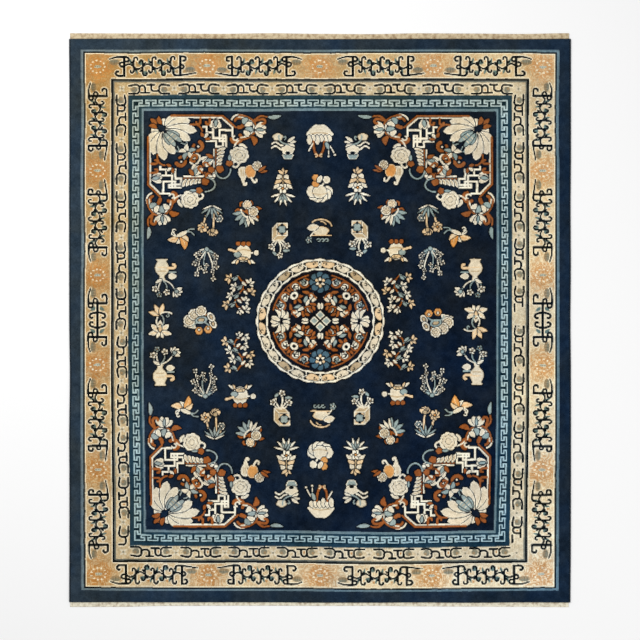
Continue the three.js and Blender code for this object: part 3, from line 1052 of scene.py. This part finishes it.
def knot_colours(chart, x, y, rng):
    """The colour of each knot: its yarns in the chart, mixed by the share of the knot that each takes."""
    rows, columns = x.shape
    across, along = [
        place + 0.45 * drift(rows, columns, 70, rng) + 0.16 * drift(rows, columns, 7, rng)
        for place in pulled(x / SQUARE, -y / SQUARE)
    ]
    table = np.array([DYES[yarn] for yarn in range(len(DYES))], float) / 255
    colour = np.zeros((rows, columns, 3))
    right, far = (x / (CARPET_WIDTH / 2))[..., None], (y / (CARPET_LENGTH / 2))[..., None]
    offsets = (-0.22, 0.0, 0.22)
    for dx in offsets:
        for dy in offsets:
            share = 3 / 11 if dx == dy == 0 else 1 / 11
            dye = table[yarn_at(chart, across + dx, along + dy)]
            colour += share * (dye[:, :, 0] + dye[:, :, 1] * right + dye[:, :, 2] * far)
    middle = yarn_at(chart, across, along)
    # the main border's ground warms round its blooms, in small broken scrolls
    curls = np.sin(9 * drift(rows, columns, 4, rng) + 5 * drift(rows, columns, 9, rng))
    warm = warm_places(across, along)
    sand, minor = middle == SAND, middle == GROUND
    blend = np.where(sand, np.clip(0.08 + 0.16 * curls + warm * (0.85 + 0.4 * curls), 0, 1), 0)
    blend = np.where(minor, np.clip(0.06 + 0.12 * curls, 0, 0.5), blend)
    blush = (table[BLUSH][0] + table[BLUSH][1] * right + table[BLUSH][2] * far)
    colour += (blush - colour) * blend[..., None]
    pale = (sand | minor) & (curls < -0.72)
    colour += pale[..., None] * 0.05
    # abrash: slow bands across the carpet, and each knot's own dye
    band = 0.6 * drift(rows, 1, 26, rng) + 0.5 * drift(rows, columns, 60, rng) + 0.25 * drift(rows, 1, 5, rng)
    own = rng.normal(0, 1, (rows, columns)) * 0.55 + drift(rows, columns, 3, rng) * 0.6
    lift = 1 + 0.05 * band + 0.055 * own
    fade = 0.012 * own + 0.018 * drift(rows, columns, 22, rng) + 0.020 * drift(rows, columns, 6, rng)
    # patches where the dye took bluer or browner
    patch = 0.022 * drift(rows, columns, 34, rng) + 0.012 * drift(rows, columns, 9, rng)
    tint = patch[..., None] * (-0.5, 0.1, 1.0)
    return np.clip(colour * lift[..., None] + fade[..., None] + tint, 0, 1), middle


class Surface:
    """Vertices and four-cornered faces gathered into one object at the origin."""

    def __init__(self, name, points, faces):
        mesh = bpy.data.meshes.new(name)
        mesh.vertices.add(len(points))
        mesh.vertices.foreach_set("co", np.ascontiguousarray(points, np.float32).ravel())
        mesh.loops.add(faces.size)
        mesh.loops.foreach_set("vertex_index", np.ascontiguousarray(faces, np.int32).ravel())
        mesh.polygons.add(len(faces))
        mesh.polygons.foreach_set("loop_start", np.arange(0, faces.size, 4, dtype=np.int32))
        mesh.update(calc_edges=True)
        self.mesh = mesh
        self.item = bpy.data.objects.new(name, mesh)
        bpy.context.scene.collection.objects.link(self.item)

    def colour(self, name, values, domain):
        layer = self.mesh.attributes.new(name, "FLOAT_COLOR", domain)
        full = np.concatenate([linear(values), np.ones((len(values), 1))], axis=1)
        layer.data.foreach_set("color", np.ascontiguousarray(full, np.float32).ravel())

    def number(self, name, values):
        layer = self.mesh.attributes.new(name, "FLOAT", "POINT")
        layer.data.foreach_set("value", np.ascontiguousarray(values, np.float32).ravel())

    def unwrap(self, corners):
        layer = self.mesh.uv_layers.new(name="OFBake")
        layer.data.foreach_set("uv", np.ascontiguousarray(corners, np.float32).ravel())

    def smooth(self):
        self.mesh.polygons.foreach_set("use_smooth", np.ones(len(self.mesh.polygons), bool))


def grid_faces(rows, columns, closed=False):
    """Four-cornered faces of a grid of rows x columns points, counter-clockwise for rows going up."""
    j, i = np.meshgrid(np.arange(rows - 1), np.arange(columns if closed else columns - 1), indexing="ij")
    a, b = j * columns + i, j * columns + (i + 1) % columns
    return np.stack([a, b, b + columns, a + columns], -1).reshape(-1, 4)


def ease(t):
    t = np.clip(t, 0, 1)
    return t * t * (3 - 2 * t)


def pile_edges(u, v, inset):
    """The pile's left, right, near and far edges, drawn in by an inset, at shares across and along."""
    sides = pile_side(-1, v) + inset, pile_side(1, v) - inset
    return *sides, pile_end(-1, u) + inset, pile_end(1, u) - inset


def pile_grid():
    """Corners of the knots: even rows and columns, pulled to the pile's own edge over the last 60 mm."""
    u = np.linspace(0, 1, KNOTS_ACROSS + 1)[None, :]
    v = np.linspace(0, 1, KNOTS_ALONG + 1)[:, None]
    left, right, near, far = pile_edges(u, v, PILE_EDGE[0, 0])
    x = left.mean() + (right.mean() - left.mean()) * u + 0 * v
    y = near.mean() + (far.mean() - near.mean()) * v + 0 * u
    reach = 60 * MM
    x = x + ease(1 - (x - left.mean()) / reach) * (left - left.mean())
    x = x + ease(1 - (right.mean() - x) / reach) * (right - right.mean())
    y = y + ease(1 - (y - near.mean()) / reach) * (near - near.mean())
    y = y + ease(1 - (far.mean() - y) / reach) * (far - far.mean())
    return x, y


def pile_heights(shape, yarns, rng):
    """Top of the pile: 9 mm, with soft wear, each tuft a little high or low, and the ink yarn worn lower."""
    rows, columns = shape
    z = np.full(shape, PILE_THICKNESS)
    z += 0.25 * MM * drift(rows, columns, 50, rng) + 0.10 * MM * rng.uniform(-1, 1, (rows, columns))
    worn = np.zeros((rows, columns))
    dark = (yarns == INK).astype(float)
    for dj in (0, 1):
        for di in (0, 1):
            worn[dj:rows - 1 + dj, di:columns - 1 + di] += dark / 4
    z -= 0.45 * MM * worn
    for line in (z[0], z[-1], z[:, 0], z[:, -1]):
        line[:] = PILE_EDGE[0, 1]
    return z


def strip_uv(along, across, strip, strips_long, strips_wide):
    """Unrolled strips stacked in one square map: along from 0 to strips_long, across within a strip."""
    height = strips_wide + 2
    scale = 1 / max(strips_long + 2, 8 * height)
    return np.stack([(along + 1) * scale, (across + 1 + strip * height) * scale], -1)


def ring_uv(faces_i, faces_j, end_depth):
    """UV of a square ring of knots: eight strips, each half of one side, from its middle to its corner."""
    i, j = faces_i.mean(1), faces_j.mean(1)
    on_end = (j < end_depth) | (j > KNOTS_ALONG - end_depth)
    right, far = i > KNOTS_ACROSS / 2, j > KNOTS_ALONG / 2
    strip = np.where(on_end, 0, 4) + 2 * right + far
    along_end = np.abs(faces_i - KNOTS_ACROSS / 2)
    along_side = np.abs(faces_j - KNOTS_ALONG / 2)
    across_end = np.where(far[:, None], KNOTS_ALONG - faces_j, faces_j)
    across_side = np.where(right[:, None], KNOTS_ACROSS - faces_i, faces_i)
    along = np.where(on_end[:, None], along_end, along_side)
    across = np.where(on_end[:, None], across_end, across_side)
    return along, across, strip


def knots_within(side, end):
    """How many knots lie between the pile's edge and a design line at that many squares from the middle."""
    width, length = CARPET_WIDTH - 2 * CORD_WIDTH, CARPET_LENGTH - 2 * NEAR_WEB_DEPTH
    across = (width / 2 - side * SQUARE) / width * KNOTS_ACROSS
    along = (length / 2 - end * SQUARE) / length * KNOTS_ALONG
    return round(across), round(along)


# Where the pile is cut into pieces: half widths and half lengths between bands, and the medallion's reach
CUTS = ((235.0, 266.9), (205.4, 239.0), (176.0, 210.2))
MEDALLION_REACH = 67


def pile_pieces(chart):
    """The knotted pile, one piece for each area of the design, cut along rows of knots."""
    rng = np.random.default_rng(SEED)
    x, y = pile_grid()
    knot_x = (x[1:, 1:] + x[:-1, :-1]) / 2
    knot_y = (y[1:, 1:] + y[:-1, :-1]) / 2
    colours, yarns = knot_colours(chart, knot_x, knot_y, rng)
    z = pile_heights(x.shape, yarns, rng)
    points = np.stack([x, y, z], -1).reshape(-1, 3)
    faces = grid_faces(KNOTS_ALONG + 1, KNOTS_ACROSS + 1)
    j, i = np.divmod(np.arange(len(faces)), KNOTS_ACROSS)
    rim = [knots_within(side, end) for side, end in CUTS]
    depth = np.minimum(i, KNOTS_ACROSS - 1 - i), np.minimum(j, KNOTS_ALONG - 1 - j)
    ring = sum(((depth[0] >= side) & (depth[1] >= end)).astype(int) for side, end in rim)
    disc = np.hypot(knot_x, knot_y).ravel() < MEDALLION_REACH * SQUARE
    made = []
    names = ("outer_band", "main_border", "inner_borders")
    for n, (name, outside, inside) in enumerate(zip(names, [(0, 0)] + rim, rim)):
        chosen = np.flatnonzero(ring == n)
        made.append(ring_piece(name, chosen, faces, points, colours, outside, inside))
    far, right = j >= KNOTS_ALONG // 2, i >= KNOTS_ACROSS // 2
    made.append(flat_piece("medallion", np.flatnonzero((ring == 3) & disc), faces, points, colours))
    for name, pick in (("field_near_left", ~far & ~right), ("field_near_right", ~far & right),
                       ("field_far_left", far & ~right), ("field_far_right", far & right)):
        made.append(flat_piece(name, np.flatnonzero((ring == 3) & ~disc & pick), faces, points, colours))
    made.append(pile_wall(x, y, colours))
    return made


def cut_out(name, chosen, faces, points, colours):
    used, corners = np.unique(faces[chosen], return_inverse=True)
    piece = Surface(name, points[used], corners.reshape(-1, 4))
    piece.colour("yarn", colours.reshape(-1, 3)[chosen], "FACE")
    return piece


def flat_uv(piece, corners, margin):
    """The piece seen from above, filling one square map but for a margin."""
    low = corners.reshape(-1, 2).min(0)
    size = (corners.reshape(-1, 2).max(0) - low).max()
    piece.unwrap(margin + (corners - low) / size * (1 - 2 * margin))


def flat_piece(name, chosen, faces, points, colours):
    piece = cut_out(name, chosen, faces, points, colours)
    flat_uv(piece, points[faces[chosen]][:, :, :2], 0.004)
    return piece


def ring_piece(name, chosen, faces, points, colours, outside, inside):
    piece = cut_out(name, chosen, faces, points, colours)
    j, i = np.divmod(faces[chosen], KNOTS_ACROSS + 1)
    along, across, strip = ring_uv(i, j, inside[1])
    across = across - np.where(strip < 4, outside[1], outside[0])[:, None]
    width = max(inside[0] - outside[0], inside[1] - outside[1])
    piece.unwrap(strip_uv(along, across, strip[:, None], max(KNOTS_ACROSS, KNOTS_ALONG) / 2, width))
    return piece


def pile_wall(x, y, colours):
    """The pile's cut edge: the outline of the top grid carried down the edge profile to the floor, with
    painted shade that darkens it towards the floor.
    """
    def loop(grid):
        return np.concatenate([grid[0, :-1], grid[:-1, -1], grid[-1, :0:-1], grid[:0:-1, 0]])
    edge = np.stack([loop(x), loop(y)], -1)
    out = np.stack([loop(np.sign(x) + 0 * y), loop(np.sign(y) + 0 * x)], -1)
    columns, rows = x.shape[1] - 1, x.shape[0] - 1
    on_end = np.zeros(len(edge), bool)
    on_end[:columns] = True
    on_end[columns + rows:2 * columns + rows] = True
    corner = np.zeros(len(edge), bool)
    corner[[0, columns, columns + rows, 2 * columns + rows]] = True
    across = np.where(on_end & ~corner, 0, out[:, 0])
    along = np.where(~on_end & ~corner, 0, out[:, 1])
    outward = np.stack([across, along], -1)
    rings = []
    for inset, height in PILE_EDGE:
        ring = edge + outward * (PILE_EDGE[0, 0] - inset)
        rings.append(np.concatenate([ring, np.full((len(ring), 1), height)], axis=1))
    points = np.stack(rings[::-1])
    faces = grid_faces(len(rings), len(edge), closed=True)
    piece = Surface("pile_edge", points.reshape(-1, 3), faces)
    outer = np.concatenate([colours[0], colours[:, -1], colours[-1, ::-1], colours[::-1, 0]])
    # painted shade: the edge's yarn colours darken row by row from the top down to three quarters at the
    # floor
    shade = np.linspace(0.75, 1.0, len(rings) - 1)[:, None, None]
    piece.colour("yarn", (outer[None] * shade).reshape(-1, 3), "FACE")
    fold_uv(piece, faces, len(edge), len(rings), 24)
    return piece


def opened(faces, around):
    """Each corner's row and column on a closed grid, cut open where the columns come round."""
    row, column = np.divmod(faces, around)
    wrap = column.max(1, keepdims=True) - column > around / 2
    return row, np.where(wrap, column + around, column)


def fold_uv(piece, faces, around, rows, folds):
    """A long narrow closed band folded into strips, one over another, in one square map."""
    row, column = opened(faces, around)
    length, height = around / folds, rows + 1
    strip = np.minimum((column.min(1) // length).astype(int), folds - 1)[:, None]
    scale = 1 / max(length + 3, folds * height + 1)
    u = (column - strip * length + 1) * scale
    piece.unwrap(np.stack([u, (row + strip * height + 0.5) * scale], -1))


def tube_uv(piece, faces, steps, around, folds, length, girth):
    """A long tube cut open and folded into strips, one over another, in one square map at its real size."""
    row, column = opened(faces, around)
    run, block = steps / folds, girth * 1.12
    strip = np.minimum((row.min(1) // run).astype(int), folds - 1)[:, None]
    scale = 1 / max(length / folds * 1.05, folds * block)
    u = (row - strip * run + 0.5) * length / steps * scale
    piece.unwrap(np.stack([u, (column * girth / around + strip * block) * scale + 0.002], -1))


def knotted_back(chart):
    """The underside, just over the floor: the same design seen from below, in cells of about 10 mm."""
    rng = np.random.default_rng(SEED + 1)
    columns, rows = 244, 276
    u, v = np.linspace(0, 1, columns)[None, :], np.linspace(0, 1, rows)[:, None]
    left, right, near, far = pile_edges(u, v, PILE_EDGE[-1, 0])
    x, y = left + (right - left) * u, near + (far - near) * v
    z = np.full(x.shape, 0.25 * MM) + 0.15 * MM * drift(rows, columns, 6, rng)
    colours, _ = knot_colours(chart, x, y, rng)
    faces = grid_faces(rows, columns)[:, ::-1]
    piece = Surface("knotted_back", np.stack([x, y, z], -1).reshape(-1, 3), faces)
    piece.colour("yarn", colours.reshape(-1, 3) * 0.9 + 0.05, "POINT")
    flat_uv(piece, np.stack([x, y], -1).reshape(-1, 2)[faces], 0.002)
    piece.smooth()
    return piece


def side_cord(name, side):
    """The overcast cord: a rounded section carried along the pile's edge, a little thicker and thinner."""
    rng = np.random.default_rng(SEED + 2 + side)
    steps, around = 520, 12
    t = np.linspace(0, 1, steps)[:, None]
    a = (np.arange(around) / around * 2 * np.pi)[None, :]
    share = np.full((1, 1), float(side > 0))
    near, far = pile_end(-1, share), pile_end(1, share)
    swell = 1 - 0.06 * (1 + drift(steps, 1, 5, rng)) * 0.5
    swell = swell * np.where((t == 0) | (t == 1), 0.8, 1)
    ring_x = np.sign(np.cos(a)) * np.abs(np.cos(a)) ** 0.8 * CORD_WIDTH / 2 * swell
    ring_z = CORD_HEIGHT / 2 * (1 + np.sign(np.sin(a)) * np.abs(np.sin(a)) ** 0.8 * swell)
    x = pile_side(side, t) + side * (SEAM + CORD_WIDTH / 2) + ring_x
    y = near + (far - near) * t + 0 * a
    points = np.stack([x, y, ring_z + 0 * t], -1).reshape(-1, 3)
    faces = grid_faces(steps, around, closed=True)
    piece = Surface(name, points, faces)
    tube_uv(piece, faces, steps, around, 10, CARPET_LENGTH, 24 * MM)
    piece.smooth()
    return piece


def end_web(name, end):
    """The cotton web: flat weave from the pile's edge, then a plait of crossing strands along its edge."""
    rng = np.random.default_rng(SEED + 5 + end)
    steps = 820
    corner = np.array(float(end > 0))
    left = pile_side(-1, corner) - CORD_WIDTH + WEB_INSET_LEFT
    right = pile_side(1, corner) + CORD_WIDTH - WEB_INSET_RIGHT
    share = np.linspace(0, 1, steps)[:, None]
    inner = pile_end(end, share) + end * SEAM
    drawn = drawn_in(NEAR_WEB_DRAWN if end < 0 else FAR_WEB_DRAWN, share)
    outer = end * (CARPET_LENGTH / 2 - drawn)
    depth = np.abs(outer - inner)
    # across the web from the pile out and back under: place as a share of the flat part or of the plait
    flat = np.array([0, 0.25, 0.5, 0.75, 1, 1, 1, 1, 1, 1, 1, 0.5, 0])[None]
    plait = np.array([0, 0, 0, 0, 0, 0.2, 0.5, 0.8, 1, 0.95, 0.5, 0, 0])[None]
    level = np.array([1, 1, 1, 1, 1, 1.45, 1.69, 1.4, 0.75, 0.15, 0, 0, 0])[None] * WEB_THICKNESS
    x = left + (right - left) * share
    strand = np.sin(np.pi * (x / (4.2 * MM) + 1.3 * plait)) ** 2
    on_plait = np.clip(plait * 6, 0, 1) * np.clip((1.02 - plait) * 6, 0, 1)
    around = flat.shape[1]
    height = level * (1 - 0.22 * strand * on_plait) + 0.12 * MM * drift(steps, around, 4, rng) * (level > 0)
    edge = -0.5 * MM * strand * (plait > 0.9)
    out = flat * (depth - PLAIT_WIDTH) + plait * PLAIT_WIDTH + edge
    y = inner + end * out
    height = np.clip(height, 0, PLAIT_HEIGHT)
    points = np.stack([x + 0 * y, y, height], -1)
    faces = grid_faces(steps, around, closed=True)
    if end > 0:
        faces = faces[:, ::-1]
    piece = Surface(name, points.reshape(-1, 3), faces)
    tube_uv(piece, faces, steps, around, 7, right - left, 52 * MM)
    piece.number("plait", np.broadcast_to(on_plait, (steps, around)).ravel())
    piece.smooth()
    return piece


class Value:
    """A number that varies over a surface. Python's operators add Math nodes to its material."""

    def __init__(self, finish, socket):
        self.finish, self.socket = finish, socket

    def math(self, operation, *others):
        return self.finish.number("ShaderNodeMath", {"operation": operation}, (self, *others))

    def __add__(self, other):
        return self.math("ADD", other)

    __radd__ = __add__

    def __rsub__(self, other):
        return self.finish.number("ShaderNodeMath", {"operation": "SUBTRACT"}, (other, self))

    def __mul__(self, other):
        return self.math("MULTIPLY", other)

    __rmul__ = __mul__


class Finish:
    """A material and the calls that add its nodes."""

    def __init__(self, name, roughness, specular):
        self.material = bpy.data.materials.new(name)
        self.material.use_nodes = True
        self.nodes = self.material.node_tree.nodes
        self.links = self.material.node_tree.links
        self.shader = self.nodes["Principled BSDF"]
        self.shader.inputs["Roughness"].default_value = roughness
        self.shader.inputs["Specular IOR Level"].default_value = specular

    def node(self, kind, settings, inputs):
        node = self.nodes.new(kind)
        for key, value in settings.items():
            setattr(node, key, value)
        items = inputs.items() if isinstance(inputs, dict) else enumerate(inputs)
        for key, value in items:
            if isinstance(value, Value):
                self.links.new(value.socket, node.inputs[key])
            elif value is not None:
                node.inputs[key].default_value = value
        return node

    def number(self, kind, settings, inputs, output=0):
        return Value(self, self.node(kind, settings, inputs).outputs[output])

    def place(self):
        """Object coordinates, in metres."""
        return self.number("ShaderNodeTexCoord", {}, {}, "Object")

    def noise(self, scale, detail, where):
        inputs = {"Vector": where, "Scale": scale, "Detail": detail}
        return self.number("ShaderNodeTexNoise", {}, inputs, "Fac")

    def ribs(self, where, axis, scale, wander):
        settings = {"wave_type": "BANDS", "bands_direction": axis}
        inputs = {"Vector": where, "Scale": scale, "Distortion": wander, "Detail": 1.0}
        return self.number("ShaderNodeTexWave", settings, inputs, "Fac")

    def blend(self, share, first, second):
        settings = {"data_type": "RGBA"}
        return self.number("ShaderNodeMix", settings, {0: share, 6: first, 7: second}, 2)

    def brighten(self, colour, lift):
        """A colour multiplied by a number that varies."""
        return self.number("ShaderNodeVectorMath", {"operation": "SCALE"}, {0: colour, 3: lift})

    def attribute(self, name, output):
        return self.number("ShaderNodeAttribute", {"attribute_name": name}, {}, output)

    def wear(self, piece):
        piece.item.data.materials.append(self.material)

    def finish(self, colour, height, depth, strength):
        inputs = {"Height": height, "Distance": depth, "Strength": strength}
        bump = self.number("ShaderNodeBump", {}, inputs)
        self.links.new(colour.socket, self.shader.inputs["Base Color"])
        self.links.new(bump.socket, self.shader.inputs["Normal"])


def wool_pile_finish():
    """Clipped wool: the knots' own colours, each tuft a little lighter or darker in its own tone and with
    painted shade where the pile sinks, and a soft broken surface.
    """
    wool = Finish("clipped_wool", 0.93, 0.03)
    where = wool.place()
    tips = wool.noise(420, 2.0, where)
    clumps = wool.noise(90, 2.0, where)
    # partly each tuft's own tone, partly painted shade: the colour darkens with the same noise that lowers
    # the bump
    lift = 0.84 + 0.22 * tips + 0.10 * clumps
    colour = wool.brighten(wool.attribute("yarn", "Color"), lift)
    wool.finish(colour, tips + 0.5 * clumps, 0.0012, 0.6)
    return wool


def knot_back_finish():
    """The back of the knots: ridged rows across the carpet over the design's colours, with painted shade in
    the grooves between rows and knots.
    """
    back = Finish("knot_backs", 0.95, 0.1)
    where = back.place()
    rows = back.ribs(where, "Y", 75, 0.6)
    knots = back.noise(300, 1.0, where)
    # painted shade: the colour darkens with the same rows and knots that lower the bump
    lift = 0.8 + 0.18 * rows + 0.16 * knots
    back.finish(back.brighten(back.attribute("yarn", "Color"), lift), rows + 0.4 * knots, 0.0008, 0.6)
    return back


def cord_finish():
    """Dark blue wool wrapped over the edge cord, turn beside turn, with faded and worn turns and painted
    shade in the grooves between turns.
    """
    cord = Finish("wrapped_cord", 0.9, 0.15)
    where = cord.place()
    turns = cord.ribs(where, "Y", 110, 1.2)
    worn = cord.noise(22, 3.0, where)
    colour = cord.blend(worn, (0.011, 0.018, 0.028, 1), (0.030, 0.042, 0.055, 1))
    # painted shade: the colour darkens with the same turns that lower the bump between wraps; the worn blend
    # above is the wool's own fading
    cord.finish(cord.brighten(colour, 0.8 + 0.4 * turns), turns, 0.0008, 0.8)
    return cord


def web_finish(name, pale, dusty):
    """Cream cotton web: close weft ribs along it, slanting strands on the plait, soiling, and painted shade
    in the grooves of the ribs and strands.
    """
    web = Finish(name, 0.92, 0.15)
    where = web.place()
    weft = web.ribs(where, "Y", 170, 0.8)
    warp = web.ribs(where, "X", 95, 1.0)
    settings = {"rotation_type": "Z_AXIS"}
    turned = web.number("ShaderNodeVectorRotate", settings, {"Vector": where, "Angle": 0.7})
    slant = web.ribs(turned, "X", 60, 1.5)
    plait = web.attribute("plait", "Fac")
    soil = web.noise(60, 4.0, where)
    spots = web.noise(260, 1.0, where)
    height = (1 - plait) * (0.6 * weft + 0.4 * warp) + plait * slant
    dirt = web.number("ShaderNodeMapRange", {}, {0: soil, 1: 0.42, 2: 0.72, 3: 0.0, 4: 1.0})
    colour = web.blend(dirt, pale, dusty)
    # painted shade: the colour darkens with the rib height that also drives the bump; the spots are the
    # cotton's own speckle
    web.finish(web.brighten(colour, 0.74 + 0.2 * height + 0.16 * spots), height, 0.0009, 0.8)
    return web


def floor_and_backdrop():
    """A plain pale floor, wide enough to fill the picture from any side."""
    half, height = 9.0, -0.5 * MM
    corners = ((-half, -half), (half, -half), (half, half), (-half, half))
    points = np.array([(x, y, height) for x, y in corners])
    floor = Surface("floor", points, np.array([[0, 1, 2, 3]]))
    paint = Finish("pale_floor", 0.9, 0.1)
    paint.shader.inputs["Base Color"].default_value = (0.97, 0.97, 0.97, 1)
    paint.wear(floor)


# The lamps: name, place in metres, size and power
LAMPS = (
    ("key", (-2.6, 2.4, 4.6), 3.0, 164),
    ("fill", (2.8, -1.8, 4.8), 4.0, 94),
)


def lights():
    """A white sky and two large lamps turned to the carpet's middle."""
    world = bpy.data.worlds.new("studio")
    world.use_nodes = True
    world.node_tree.nodes["Background"].inputs["Color"].default_value = (1, 1, 1, 1)
    world.node_tree.nodes["Background"].inputs["Strength"].default_value = 0.48
    bpy.context.scene.world = world
    for name, (x, y, z), size, power in LAMPS:
        lamp = bpy.data.lights.new(name, "AREA")
        lamp.size = size
        lamp.energy = power
        item = bpy.data.objects.new(name, lamp)
        item.location = (x, y, z)
        tilt, turn = np.arctan2(np.hypot(x, y), z), np.arctan2(-x, y) + np.pi
        item.rotation_euler = (tilt, 0, turn)
        bpy.context.scene.collection.objects.link(item)


# The photograph: how many columns it has, and how many of them its middle lies above the carpet's
PICTURE_COLUMNS = 640
PICTURE_RISE = 0.15


def camera():
    """Straight above the carpet, as in the photograph, whose columns are a square apart."""
    picture_width = PICTURE_COLUMNS * SQUARE
    lens, sensor = 85.0, 36.0
    item = bpy.data.objects.new("camera", bpy.data.cameras.new("camera"))
    item.data.lens = lens
    item.data.sensor_width = sensor
    item.location = (0, PICTURE_RISE * SQUARE, picture_width * lens / sensor + PILE_THICKNESS)
    item.data.clip_end = 60
    bpy.context.scene.collection.objects.link(item)
    bpy.context.scene.camera = item


def main():
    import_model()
    chart = outlined(draw_rug())
    pile = pile_pieces(chart)
    back = knotted_back(chart)
    cords = [side_cord("left_cord", -1), side_cord("right_cord", 1)]
    webs = [end_web("near_web", -1), end_web("far_web", 1)]
    wool = wool_pile_finish()
    for piece in pile:
        wool.wear(piece)
    knot_back_finish().wear(back)
    binding = cord_finish()
    for cord in cords:
        binding.wear(cord)
    web_finish("near_cotton", (0.97, 0.91, 0.72, 1), (0.52, 0.42, 0.30, 1)).wear(webs[0])
    web_finish("far_cotton", (0.78, 0.64, 0.42, 1), (0.40, 0.27, 0.15, 1)).wear(webs[1])
    for piece in pile + [back]:
        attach(piece.item, "root")
        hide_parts("knotted_pile")
    for cord, node in zip(cords, ("side_cord_left", "side_cord_right")):
        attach(cord.item, "root")
        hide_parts(node)
    for web, node in zip(webs, ("end_web_near", "end_web_far")):
        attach(web.item, "root")
        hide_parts(node)
    others = [piece.item for piece in pile + cords + webs]
    floor_and_backdrop()
    lights()
    camera()
    scene = bpy.context.scene
    scene.view_settings.view_transform = "Standard"
    scene.view_settings.look = "None"


main()
